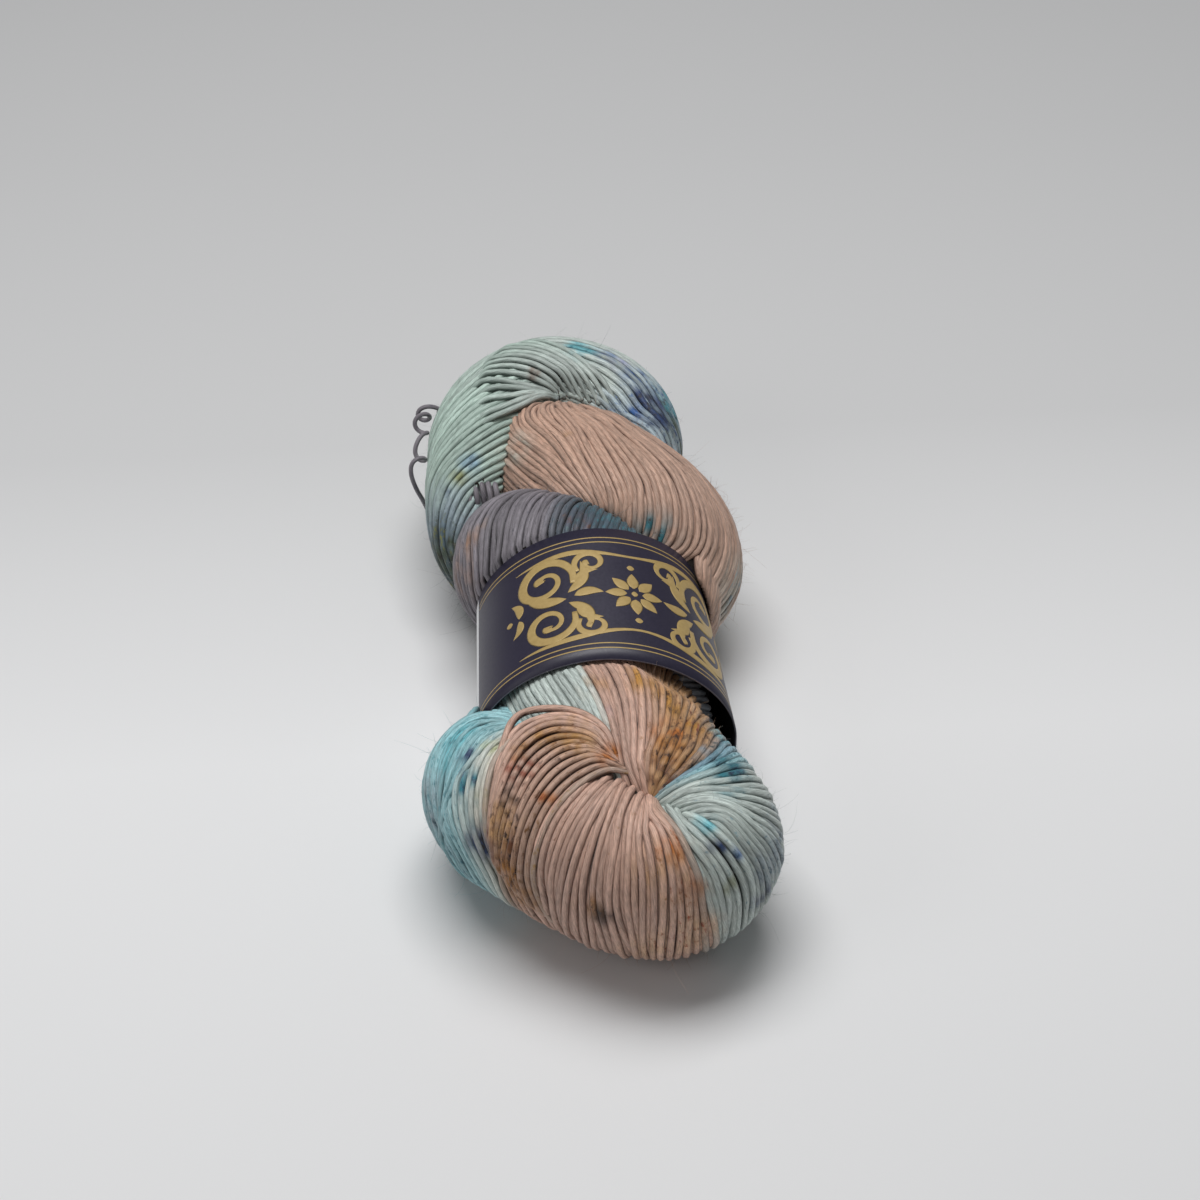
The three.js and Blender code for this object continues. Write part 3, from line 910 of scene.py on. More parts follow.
def splash(points, dye, rng):
    """Lay every splash that reaches the points over their dye."""
    ground, fleck, amount = dye
    along = np.arange(len(points))
    for x, y, z, reach, colour, dark, strength in SPLASHES_AND_PAINTED_SHADE:
        away = np.linalg.norm(points - [x, y, z], axis=1) / reach
        if away.min() > 1.6:
            continue
        streak = rng.uniform(0.05, 1.35) + 0.45 * np.sin(along * rng.uniform(0.6, 1.6) + rng.uniform(0, 6))
        share = np.clip(1.3 * strength * np.exp(-(away**3.2)) * streak, 0, 1)[:, None]
        ground = ground * (1 - share) + srgb(POT[colour]) * share
        fleck = fleck * (1 - share) + srgb(POT[dark]) * share
        amount = amount * (1 - share[:, 0]) + 0.5 * share[:, 0]
    return ground, fleck, amount


print(len(SPLASHES_AND_PAINTED_SHADE), "splashes")

# %% [markdown]
# ## Writing the dye, the fibre and the painted shade on the threads
# The shader has to know the thread it is on. One attribute holds the ground colour, with the share of
# specks as its fourth number, and one the colour of the specks. A third holds the distance along the
# thread and the place round it, turned slowly because this yarn is spun softly. The last one is 1 on the
# crest of a thread and 0 on its side and back, where it presses on its neighbours. It sets how much
# painted shade darkens the colour there, and a thread that sinks under its neighbours gets more of it.

# %% Attributes of the threads
TWIST_PER_MM = 0.10


def dress(mesh, runs, rng, sides=SIDES):
    ground, fleck, fibre, lot, facing = [], [], [], [], []
    ring = 2 * np.pi * np.arange(sides) / sides
    place = np.empty(len(mesh.vertices) * 3)
    mesh.vertices.foreach_get("co", place)
    place = place.reshape(-1, sides, 3)
    first = 0
    for run in runs:
        points = run["points"]
        along = np.r_[0, np.cumsum(np.linalg.norm(np.diff(points, axis=0), axis=1))]
        g, f, a = run["dye"]
        g = g * np.clip(rng.normal(1.0, 0.10), 0.74, 1.24)
        n = len(points)
        ground.append(np.repeat(np.c_[g, a], sides, axis=0))
        fleck.append(np.repeat(np.c_[f, np.ones(n)], sides, axis=0))
        turned = ring[None, :] + TWIST_PER_MM * along[:, None]
        steps_along = np.repeat(along[:, None], sides, 1)
        fibre.append(np.stack([steps_along, np.cos(turned), np.sin(turned)], -1).reshape(-1, 3))
        lot.append(np.full(n * sides, rng.uniform(0, 1)))
        # painted shade: the side and back of each tube, and sunk threads, are marked for darkening; a run
        # without a skin direction gets a little everywhere
        if "out" in run:
            spoke = place[first : first + n] - in_frame(points)[:, None, :]
            spoke /= np.linalg.norm(spoke, axis=2, keepdims=True) + 1e-9
            level = (spoke * run["out"][:, None, :]).sum(2)
            level = ease((level - 0.02) / 0.86) * (1 - 0.3 * np.clip(run["sink"], 0, 1.5) / 1.5)[:, None]
            facing.append(level.ravel())
        else:
            facing.append(np.full(n * sides, 0.9))
        first += n
    write(mesh, "dye", "FLOAT_COLOR", np.vstack(ground))
    write(mesh, "fleck", "FLOAT_COLOR", np.vstack(fleck))
    write(mesh, "fibre", "FLOAT_VECTOR", np.vstack(fibre))
    write(mesh, "lot", "FLOAT", np.concatenate(lot))
    write(mesh, "crest_vs_painted_shade", "FLOAT", np.concatenate(facing))


for run in ply_runs:
    place = run["start"] + rng.normal(0, 0.02) + waver(rng, 1, run["angle"], 0.04)[0]
    run["dye"] = splash(run["points"], dye_at(PLY_DYE, place), rng)
for run in eye_runs:
    run["dye"] = splash(run["points"], dye_at(EYE_DYE, run["t"] + rng.normal(0, 0.12)), rng)
for run in ply_runs + eye_runs:
    n = len(run["points"])
    ends = np.minimum(np.arange(n), np.arange(n)[::-1]) / 2.0
    run["thick"] = (0.55 + 0.45 * ease(ends)) * (1 + rng.normal(0, 0.05) + 0.025 * rng.normal(0, 1, n))
print("dyed", len(ply_runs) + len(eye_runs), "runs")

# %% [markdown]
# ## Yarn material
# The base colour starts from the thread's own dye. A noise, cut hard, drops the specks, and a second
# one, stretched along the fibre, breaks it into paler and darker streaks. On the side and back of a thread
# the colour is multiplied by itself and dimmed. This is painted shade between the threads, richer, not
# just darker. The same streaks feed a Bump node and the roughness. A little sheen gives the soft rim of
# combed wool, and it is set straight on the socket because it is the same everywhere.


# %% Yarn material
def new_material(name):
    material = bpy.data.materials.new(name)
    material.use_nodes = True
    nodes, links = material.node_tree.nodes, material.node_tree.links
    shader = nodes["Principled BSDF"]
    return material, nodes, links, shader


def node(nodes, kind, label=None, **values):
    made = nodes.new(kind)
    if label:
        made.label = label
    for key, value in values.items():
        if key.startswith("in_"):
            made.inputs[key[3:].replace("_", " ")].default_value = value
        else:
            setattr(made, key, value)
    return made


def yarn_material(name, streak=0.34, sheen=0.15, rough=0.55):
    material, nodes, links, shader = new_material(name)
    read = lambda attribute: node(nodes, "ShaderNodeAttribute", attribute_name=attribute)
    dye, fleck, fibre, lot, crest = read("dye"), read("fleck"), read("fibre"), read("lot"), read("crest_vs_painted_shade")

    def fibre_noise(stretch, shift, detail):
        scaled = node(nodes, "ShaderNodeVectorMath", operation="MULTIPLY")
        scaled.inputs[1].default_value = stretch
        links.new(fibre.outputs["Vector"], scaled.inputs[0])
        moved = node(nodes, "ShaderNodeVectorMath", operation="MULTIPLY_ADD")
        moved.inputs[1].default_value = (shift, shift * 0.7, shift * 1.3)
        links.new(lot.outputs["Fac"], moved.inputs[0])
        links.new(scaled.outputs[0], moved.inputs[2])
        noise = node(nodes, "ShaderNodeTexNoise")
        noise.inputs["Scale"].default_value = 1.0
        noise.inputs["Detail"].default_value = detail
        noise.inputs["Roughness"].default_value = 0.6
        links.new(moved.outputs[0], noise.inputs["Vector"])
        return noise

    def between_levels(value, low, high, start, end):
        level = node(nodes, "ShaderNodeMapRange")
        for key, number in (("From Min", low), ("From Max", high), ("To Min", start), ("To Max", end)):
            level.inputs[key].default_value = number
        links.new(value, level.inputs["Value"])
        return level.outputs[0]

    speck = fibre_noise((0.55, 0.8, 0.8), 91.0, 4.0)
    level = node(nodes, "ShaderNodeMath", operation="MULTIPLY_ADD")
    level.inputs[1].default_value = 0.46
    level.inputs[2].default_value = -0.72
    links.new(dye.outputs["Alpha"], level.inputs[0])
    over = node(nodes, "ShaderNodeMath", operation="ADD")
    links.new(speck.outputs["Fac"], over.inputs[0])
    links.new(level.outputs[0], over.inputs[1])
    mask = node(nodes, "ShaderNodeMath", operation="MULTIPLY", use_clamp=True)
    mask.inputs[1].default_value = 6.0
    links.new(over.outputs[0], mask.inputs[0])
    speckled = node(nodes, "ShaderNodeMix", data_type="RGBA")
    links.new(mask.outputs[0], speckled.inputs[0])
    links.new(dye.outputs["Color"], speckled.inputs[6])
    links.new(fleck.outputs["Color"], speckled.inputs[7])

    hair = fibre_noise((0.4, 3.4, 3.4), 37.0, 5.0)
    tinted = node(nodes, "ShaderNodeVectorMath", operation="SCALE")
    links.new(speckled.outputs[2], tinted.inputs[0])
    streak_scale = between_levels(hair.outputs["Fac"], 0.3, 0.7, 0.84 - streak, 0.84 + streak * 0.8)
    links.new(streak_scale, tinted.inputs["Scale"])

    # painted shade: where the attribute falls to 0 the colour is squared and scaled by 0.34
    squared_for_painted_shade = node(nodes, "ShaderNodeVectorMath", operation="MULTIPLY")
    links.new(tinted.outputs[0], squared_for_painted_shade.inputs[0])
    links.new(tinted.outputs[0], squared_for_painted_shade.inputs[1])
    shaded = node(nodes, "ShaderNodeVectorMath", operation="SCALE")
    shaded.inputs["Scale"].default_value = 0.34
    links.new(squared_for_painted_shade.outputs[0], shaded.inputs[0])
    lit = node(nodes, "ShaderNodeMix", data_type="RGBA")
    links.new(crest.outputs["Fac"], lit.inputs[0])
    links.new(shaded.outputs[0], lit.inputs[6])
    links.new(tinted.outputs[0], lit.inputs[7])
    links.new(lit.outputs[2], shader.inputs["Base Color"])

    bump = node(nodes, "ShaderNodeBump")
    bump.inputs["Strength"].default_value = 0.6
    bump.inputs["Distance"].default_value = 0.0003
    links.new(hair.outputs["Fac"], bump.inputs["Height"])
    links.new(bump.outputs[0], shader.inputs["Normal"])
    streak_rough = between_levels(hair.outputs["Fac"], 0.3, 0.7, rough + 0.1, rough - 0.1)
    links.new(streak_rough, shader.inputs["Roughness"])
    shader.inputs["Sheen Weight"].default_value = sheen
    shader.inputs["Sheen Roughness"].default_value = 0.45
    return material


dyed_yarn_painted_shade = yarn_material("dyed_yarn_painted_shade")
print("material", dyed_yarn_painted_shade.name)

# %% [markdown]
# The core needs its own finish: painted shade, near black, much darker than the threads over it, with a
# fine uneven grain from a noise on Object coordinates.

# %% Painted shade between the threads
painted_shade_wool, nodes, links, shader = new_material("painted_shade_wool")
where = node(nodes, "ShaderNodeTexCoord")
grain = node(nodes, "ShaderNodeTexNoise")
grain.inputs["Scale"].default_value = 700.0
grain.inputs["Detail"].default_value = 3.0
links.new(where.outputs["Object"], grain.inputs["Vector"])
ramp = node(nodes, "ShaderNodeValToRGB")
# painted shade: the core is near black, standing for the shade between the threads
ramp.color_ramp.elements[0].color = (0.006, 0.004, 0.004, 1)
ramp.color_ramp.elements[1].color = (0.045, 0.034, 0.028, 1)
links.new(grain.outputs["Fac"], ramp.inputs["Fac"])
links.new(ramp.outputs["Color"], shader.inputs["Base Color"])
shader.inputs["Roughness"].default_value = 0.9
core.data.materials.append(painted_shade_wool)
print("material", painted_shade_wool.name)

# %% [markdown]
# ## The threads themselves
# The runs become tubes in a few pieces, none over 200,000 triangles, so each stays easy to handle.

# %% Threads of the plies and of the eye
def piece_of_yarn(name, runs, radius=YARN_RADIUS, material=None, sides=SIDES):
    mesh = tubes(name, runs, radius, sides)
    dress(mesh, runs, rng, sides)
    piece = show(name, mesh, material or dyed_yarn_painted_shade)
    print(name, len(runs), "runs", sum(len(p.vertices) - 2 for p in mesh.polygons), "triangles")
    return piece


SPANS = (
    ("yarn_near_left", 18.2, 22.5),
    ("yarn_near_front", 15.6, 18.2),
    ("yarn_near_right", 11.4, 15.6),
    ("yarn_second_ply", 22.5, 40.0),
)
spare = list(ply_runs)
for name, low, high in SPANS:
    chosen = [run for run in spare if low <= run["start"] < high]
    spare = [run for run in spare if not low <= run["start"] < high]
    piece_of_yarn(name, chosen)
piece_of_yarn("yarn_first_ply", spare)
piece_of_yarn("yarn_eye", eye_runs)

# %% [markdown]
# On the left shoulder of the fold the top layer of threads leaves the pinch, arches over the hollow and
# turns down the front. The layer follows five guides, each with ten places from the pinch to the bottom,
# and the threads between two guides are blended from them. The outer pair has slipped a little further.

# %% Top layer on the left shoulder
SHOULDER = np.array(
    [
        [
            (2.2, -79.6, 47.2), (0.6, -73.8, 49.5), (-2.8, -68.8, 49.6), (-7.0, -64.9, 48.4),
            (-12.2, -62.2, 46.6), (-17.2, -60.9, 44.4), (-20.4, -63.6, 44.2), (-22.4, -68.8, 44.0),
            (-24.6, -75.5, 42.8), (-27.0, -82.5, 38.6),
        ],
        [
            (2.4, -80.0, 47.0), (-1.8, -73.4, 49.2), (-7.1, -69.2, 48.4), (-12.5, -67.6, 46.8),
            (-17.8, -69.8, 45.7), (-21.6, -74.6, 45.0), (-24.4, -80.4, 43.0), (-26.3, -85.8, 39.0),
            (-26.8, -89.9, 34.2), (-25.6, -93.0, 28.0),
        ],
        [
            (2.8, -80.6, 46.9), (-3.6, -75.2, 47.9), (-9.4, -73.6, 47.0), (-14.1, -75.8, 46.6),
            (-17.9, -79.8, 45.8), (-21.0, -84.4, 43.4), (-23.5, -88.9, 39.0), (-24.8, -91.9, 33.8),
            (-24.3, -94.4, 28.8), (-22.6, -96.0, 24.4),
        ],
        [
            (3.4, -81.6, 46.7), (-2.0, -78.3, 47.3), (-7.1, -79.0, 47.2), (-11.8, -82.0, 46.9),
            (-16.0, -86.2, 45.0), (-19.3, -90.3, 41.2), (-21.2, -93.7, 35.8), (-22.0, -95.8, 30.4),
            (-20.9, -97.5, 25.4), (-19.0, -98.5, 20.2),
        ],
        [
            (4.4, -83.0, 46.2), (0.0, -81.6, 46.4), (-4.8, -84.0, 46.7), (-9.6, -87.9, 45.9),
            (-13.6, -91.4, 43.0), (-16.5, -95.0, 38.2), (-17.9, -97.4, 32.7), (-17.6, -99.1, 27.1),
            (-15.6, -100.2, 20.6), (-12.5, -101.0, 14.0),
        ],
    ],
    float,
)
PER_GUIDE = 3
shoulder_runs = []
along = np.linspace(0, 9, 84)
for k in range(4 * PER_GUIDE + 1):
    s = min(k / PER_GUIDE, 3.999)
    guide = between(SHOULDER.reshape(5, -1), s).reshape(10, 3)
    line = between(guide, along)
    out = np.array([hank_tree.find_nearest(Vector(p))[1] for p in in_frame(line)])
    for _ in range(6):
        out[1:-1] = (out[:-2] + 2 * out[1:-1] + out[2:]) / 4
    out /= np.linalg.norm(out, axis=1, keepdims=True)
    height = waver(rng, 1, along, 0.12)[0] - 0.5 * (k % 2) * ease((1.6 - along) / 1.4)
    height = height - 0.5 * ease((s - 3.2) / 0.8)
    height -= 1.6 * ease((along - 8.2) / 0.8) + 0.9 * ease((0.5 - along) / 0.5) + 0.35 * (k == 1)
    line = line + out * height[:, None]
    run = {"points": line, "out": out, "sink": np.full(84, 0.1)}
    run["thick"] = 0.97 - 0.3 * ease((1.4 - along) / 1.4)
    place = 16.95 if k < 2 else 18.2 + 0.2 * s
    run["dye"] = splash(line, dye_at(PLY_DYE, np.full(84, place)), rng)
    shoulder_runs.append(run)
piece_of_yarn("yarn_shoulder", shoulder_runs)

# %% [markdown]
# The crest of the far eye has such a layer too. Its threads sweep up from the left, turn over the crest
# and run down into the crease behind the pink ply, the low ones sharply, the high ones in a wide bend.

# %% Top layer on the crest of the eye
CREST = np.array(
    [
        [
            (-23.1, 43.4, 43.5), (-18.8, 45.2, 43.8), (-14.5, 47.9, 43.6), (-11.6, 50.3, 43.2),
            (-8.4, 53.0, 42.7), (-5.0, 55.0, 41.6), (-2.2, 55.6, 40.2),
        ],
        [
            (-23.0, 45.4, 44.1), (-18.7, 47.2, 44.3), (-14.6, 49.7, 44.1), (-11.0, 52.2, 43.6),
            (-7.6, 54.4, 42.7), (-4.5, 55.7, 41.7), (-1.9, 55.8, 40.3),
        ],
        [
            (-22.7, 50.2, 45.0), (-18.2, 51.1, 45.3), (-14.0, 52.2, 44.8), (-10.4, 53.7, 44.0),
            (-7.3, 55.1, 42.9), (-4.5, 55.8, 41.7), (-1.9, 55.9, 40.3),
        ],
        [
            (-22.5, 53.8, 45.3), (-18.5, 54.4, 45.7), (-14.3, 54.7, 45.4), (-10.8, 55.0, 44.4),
            (-7.6, 55.5, 43.1), (-4.4, 56.0, 41.7), (-1.7, 55.9, 40.1),
        ],
        [
            (-22.4, 57.5, 45.2), (-18.9, 57.4, 45.8), (-15.4, 56.8, 45.7), (-11.9, 56.3, 45.0),
            (-8.3, 56.2, 43.8), (-4.7, 56.2, 42.1), (-1.4, 55.9, 40.0),
        ],
        [
            (-22.2, 60.7, 45.0), (-18.7, 60.6, 45.8), (-15.2, 60.0, 46.1), (-11.7, 59.5, 45.7),
            (-8.0, 58.7, 44.6), (-4.2, 57.6, 42.8), (-0.7, 56.4, 40.0),
        ],
        [
            (-22.1, 63.5, 44.5), (-18.8, 63.8, 45.4), (-15.2, 63.8, 45.9), (-11.5, 63.0, 46.0),
            (-7.4, 61.4, 45.3), (-3.4, 59.2, 43.4), (0.3, 57.2, 39.3),
        ],
        [
            (-21.1, 67.0, 44.0), (-17.2, 66.8, 45.2), (-13.3, 66.4, 45.9), (-9.0, 65.3, 46.1),
            (-5.0, 63.4, 45.4), (-1.1, 60.9, 43.7), (2.4, 57.3, 38.9),
        ],
        [
            (-19.3, 69.3, 43.9), (-15.2, 69.2, 45.1), (-11.0, 68.3, 45.9), (-6.6, 66.8, 46.0),
            (-2.4, 64.5, 45.2), (1.3, 61.4, 43.2), (4.5, 56.6, 38.4),
        ],
        [
            (-17.0, 72.5, 43.4), (-12.5, 71.6, 45.0), (-7.8, 69.8, 45.8), (-3.5, 67.4, 45.7),
            (0.8, 64.5, 44.6), (4.3, 60.7, 42.4), (7.0, 55.6, 38.2),
        ],
        [
            (-14.4, 75.2, 42.8), (-10.0, 73.6, 44.7), (-5.1, 71.0, 45.6), (-0.6, 67.9, 45.4),
            (3.7, 64.4, 44.3), (7.4, 59.8, 42.0), (10.2, 53.8, 38.5),
        ],
        [
            (-10.8, 77.0, 42.6), (-6.1, 75.0, 44.5), (-1.3, 71.5, 45.4), (3.2, 67.5, 45.0),
            (7.1, 63.3, 43.8), (10.6, 59.0, 41.9), (13.4, 52.4, 39.2),
        ],
    ],
    float,
)
crest_runs = []
along = np.linspace(0, 7, 70)
for s in np.r_[np.linspace(0, 5, 6), np.linspace(5.75, 10.999, 8)]:
    guide = between(CREST.reshape(12, -1), s).reshape(7, 3)
    lead_in = guide[0] + 1.7 * (guide[0] - guide[1]) + [0, -1.5, 0]
    before = hank_tree.find_nearest(Vector(in_frame(lead_in)))[0]
    guide = np.vstack([np.array(before) * 1000 - SHIFT, guide])
    line = between(guide, along)
    out = np.array([hank_tree.find_nearest(Vector(p))[1] for p in in_frame(line)])
    for _ in range(6):
        out[1:-1] = (out[:-2] + 2 * out[1:-1] + out[2:]) / 4
    out /= np.linalg.norm(out, axis=1, keepdims=True)
    height = 0.25 + waver(rng, 1, along, 0.16)[0] + 0.3 * ease((2.5 - s) / 2.5)
    dive = rng.uniform(0.35, 1.35)
    height -= (
        2.2 * ease((dive + 0.9 - along) / 1.5)
        + 0.9 * ease((along - 5.6) / 1.4)
        + 0.4 * ease((s - 9) / 2)
    )
    line = line + out * height[:, None]
    sink = 1.2 * ease((along - 4.8) / 2.0)
    run = {"points": line, "out": out, "sink": sink, "thick": 1.0 - 0.25 * ease((along - 5.0) / 2.0)}
    place = 6.1 - 0.5 * along + 0.05 * s
    run["dye"] = splash(line, dye_at(EYE_DYE, place), rng)
    crest_runs.append(run)
piece_of_yarn("yarn_crest", crest_runs)

# %% [markdown]
# ## Tie and its loose end
# The tie is the same springy yarn in lavender grey. A few turns show in the hollow between the lobes,
# and its end is the curl that was drawn above.

# %% Tie turns and the curled end
TIE_DYE = (srgb(POT["grey"]), srgb(POT["dusk"]), 0.3)
TIE_ROUTE = [
    (-24.4, 33.5, 28.5),
    (-24.4, 33.2, 32.2),
    (-24.2, 31.0, 34.4),
    (-23.9, 28.4, 34.6),
    (-23.6, 26.4, 33.0),
    (-23.4, 25.6, 29.5),
]


def plain_dye(run, dye):
    n = len(run["points"])
    run["dye"] = (np.tile(dye[0], (n, 1)), np.tile(dye[1], (n, 1)), np.full(n, dye[2]))


tie_runs = []
for k, (swing, tall) in enumerate(((-0.5, -0.9), (0.0, 0.0), (0.3, 0.4), (-0.2, 0.2), (0.4, -0.5))):
    route = [(x - 3.0 + k * 1.72, y + swing, z + tall - 0.6) for x, y, z in TIE_ROUTE]
    line = between(route, np.linspace(0, len(route) - 1, 26))
    up = np.gradient(line, axis=0)
    up = np.cross(up, [1.0, 0, 0])
    up = up / np.linalg.norm(up, axis=1, keepdims=True)
    up *= np.sign(up[len(up) // 2, 2])
    tie_runs.append({"points": line, "thick": np.full(26, 1.0), "out": up, "sink": np.zeros(26)})
for run in tie_runs:
    plain_dye(run, TIE_DYE)
tie = piece_of_yarn("tie_yarn_turns", tie_runs, 0.86)
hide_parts("tie_turns")

plain_dye(tail_run, TIE_DYE)
tail = piece_of_yarn("tie_loose_end", [tail_run], TAIL_RADIUS)
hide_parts("tie_end")
print("tie", len(tie_runs), "turns and a loose end")

# %% [markdown]
# ## Halo of loose fibres
# Wool is never bare: short fine fibres stand off the threads and show as a soft halo against the table.
# Each one starts on the crest of a thread, leaves it at its own slant and bends. Only the threads on the
# outside grow them, and none goes through the paper.


# %% Loose fibres
def loose_fibres(runs, count):
    hairs = []
    share = np.linspace(0, 1, 5)[:, None]
    while len(hairs) < count:
        run = runs[rng.integers(len(runs))]
        i = int(rng.integers(1, len(run["points"]) - 1))
        root = run["points"][i]
        if run["sink"][i] > 0.4 or under_band(root) > -2.0:
            continue
        out = run["out"][i]
        head = out * rng.uniform(0.35, 1.1) + rng.normal(0, 0.75, 3)
        head /= np.linalg.norm(head)
        reach = np.clip(rng.gamma(2.4, 1.05), 0.8, 6.5)
        line = (
            root
            + out * 0.8 * YARN_RADIUS
            + head * reach * share
            + rng.normal(0, 0.42, 3) * reach * share**2
        )
        line[:, 2] = np.maximum(line[:, 2], 0.1)
        dye = (
            np.repeat(run["dye"][0][i : i + 1] * 0.75 + 0.16, 5, 0),
            np.repeat(run["dye"][1][i : i + 1], 5, 0),
        )
        hairs.append({"points": line, "thick": np.linspace(1.0, 0.45, 5), "dye": (*dye, np.zeros(5))})
    return hairs


hairs = loose_fibres(ply_runs + eye_runs, 5400)
piece_of_yarn("loose_fibres", hairs, 0.030, sides=4)

# %% [markdown]
# ## Paper band
# The band is one strip of card, printed dark outside and left white where it turns under. It starts as a
# circle of points for each edge. The two circles are bridged, cut across, and each point is then moved to
# the band's outline. A Solidify modifier gives the card its thickness, inwards. Its inside is painted shade,
# dark grey under the print and near black under the white part, and its cut edge is dark grey.


# %% Card materials
def card_material(name, low, high, rough, print_rough):
    """Card with a fine tooth: a noise on Object coordinates moves its colour, roughness and height."""
    material, nodes, links, shader = new_material(name)
    where = node(nodes, "ShaderNodeTexCoord")
    tooth = node(nodes, "ShaderNodeTexNoise")
    tooth.inputs["Scale"].default_value = 1400.0
    tooth.inputs["Detail"].default_value = 4.0
    cloud = node(nodes, "ShaderNodeTexNoise")
    cloud.inputs["Scale"].default_value = 60.0
    for noise in (tooth, cloud):
        links.new(where.outputs["Object"], noise.inputs["Vector"])
    both = node(nodes, "ShaderNodeMath", operation="ADD")
    links.new(tooth.outputs["Fac"], both.inputs[0])
    links.new(cloud.outputs["Fac"], both.inputs[1])
    level = node(nodes, "ShaderNodeMapRange")
    level.inputs["From Min"].default_value = 0.7
    level.inputs["From Max"].default_value = 1.3
    links.new(both.outputs[0], level.inputs["Value"])
    tint = node(nodes, "ShaderNodeMix", data_type="RGBA")
    tint.inputs[6].default_value = (*low, 1)
    tint.inputs[7].default_value = (*high, 1)
    links.new(level.outputs[0], tint.inputs[0])
    links.new(tint.outputs[2], shader.inputs["Base Color"])
    gloss = node(nodes, "ShaderNodeMapRange")
    gloss.inputs["To Min"].default_value = print_rough
    gloss.inputs["To Max"].default_value = rough
    links.new(tooth.outputs["Fac"], gloss.inputs["Value"])
    links.new(gloss.outputs[0], shader.inputs["Roughness"])
    bump = node(nodes, "ShaderNodeBump")
    bump.inputs["Strength"].default_value = 0.12
    bump.inputs["Distance"].default_value = 0.00005
    links.new(tooth.outputs["Fac"], bump.inputs["Height"])
    links.new(bump.outputs[0], shader.inputs["Normal"])
    return material, shader


printed_card, shader = card_material(
    "printed_card", (0.0150, 0.0125, 0.0290), (0.0215, 0.0180, 0.0390), 0.5, 0.34
)
# dark grey: the cut edge, and painted shade on the inside of the printed part
cut_edge_and_painted_shade, shader = card_material("cut_edge_and_painted_shade", (0.10, 0.095, 0.12), (0.16, 0.15, 0.18), 0.8, 0.7)
white_card, shader = card_material("white_card", (0.70, 0.70, 0.71), (0.80, 0.80, 0.81), 0.8, 0.6)
# painted shade: near black inside of the white part of the band
painted_shade_card, shader = card_material("painted_shade_card", (0.010, 0.009, 0.014), (0.018, 0.016, 0.022), 0.9, 0.7)
print("card materials ready")

# %% [markdown]
# The print ends on the left and right just where the band turns under. Its length round the band is
# measured from the top, so a place on the print is two plain numbers in millimetres: round and across.

# %% Paper band
TURNS = np.radians(np.linspace(-90, 270, 721))
GIRTH = np.r_[0, np.cumsum(np.linalg.norm(np.diff(band_point(TURNS, 0.5), axis=0), axis=1))]
TOP_AT = float(np.interp(math.pi / 2, TURNS, GIRTH))


def on_band(round_mm, across_mm, lift=0.0):
    """Place on the band: mm to the right of its top, mm from its near edge, mm above the paper."""
    angle = np.interp(TOP_AT - np.asarray(round_mm, float), GIRTH, TURNS)
    return band_point(angle, np.asarray(across_mm, float) / 46.35, -np.asarray(lift, float))


PRINT_LEFT, PRINT_RIGHT = -37.4, 40.6
bm = bmesh.new()
loops = []
for across in (0.0, 1.0):
    circle = bmesh.ops.create_circle(bm, segments=240, radius=0.03)["verts"]
    for vert in circle:
        vert.co = Vector((vert.co.x, across, vert.co.y))
    loops.append(list({edge for vert in circle for edge in vert.link_edges}))
bmesh.ops.bridge_loops(bm, edges=loops[0] + loops[1])
cross = [e for e in bm.edges if abs(e.verts[0].co.y - e.verts[1].co.y) > 0.5]
bmesh.ops.subdivide_edges(bm, edges=cross, cuts=9)
for face in bm.faces:
    middle = face.calc_center_median()
    angle = (math.atan2(middle.z, middle.x) + math.pi / 2) % (2 * math.pi) - math.pi / 2
    face.material_index = 0 if PRINT_LEFT < TOP_AT - np.interp(angle, TURNS, GIRTH) < PRINT_RIGHT else 1
    face.smooth = True
for vert in bm.verts:
    angle = math.atan2(vert.co.z, vert.co.x)
    vert.co = Vector(in_frame(band_point(angle, vert.co.y)))
bmesh.ops.recalc_face_normals(bm, faces=bm.faces)
band_mesh = bpy.data.meshes.new("card_band")
bm.to_mesh(band_mesh)
bm.free()
band = show("card_band", band_mesh, printed_card)
for finish in (white_card, cut_edge_and_painted_shade, cut_edge_and_painted_shade, painted_shade_card, painted_shade_card):
    band_mesh.materials.append(finish)
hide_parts("paper_band")
card = band.modifiers.new("card", "SOLIDIFY")
card.thickness = 0.00035
card.offset = -1
# the inside faces take painted shade: dark grey under the print, near black under the white part
card.material_offset = 3
card.material_offset_rim = 2
print("band", len(band_mesh.polygons), "faces, girth", round(float(GIRTH[-1])), "mm")

# %% [markdown]
# ## Gold ornament
# The print is a garden of scrolls and leaves in gold, drawn here from scratch. Each stroke is a round tube
# drawn on a flat sheet, thick in its belly and thin at its ends. It is then pressed almost flat and
# laid round the band, which leaves a soft edge like foil. Two fine lines run along each edge.


# %% Strokes of the ornament
def stroke(points, widths, steps=8):
    """A stroke through points (round, across) in mm, with its full width at each point."""
    rows = np.c_[points, widths]
    fine_rows = between(rows, np.linspace(0, len(rows) - 1, (len(rows) - 1) * steps + 1))
    return {
        "points": np.c_[fine_rows[:, :2], np.zeros(len(fine_rows))],
        "thick": np.maximum(fine_rows[:, 2], 0.12) / 2,
    }


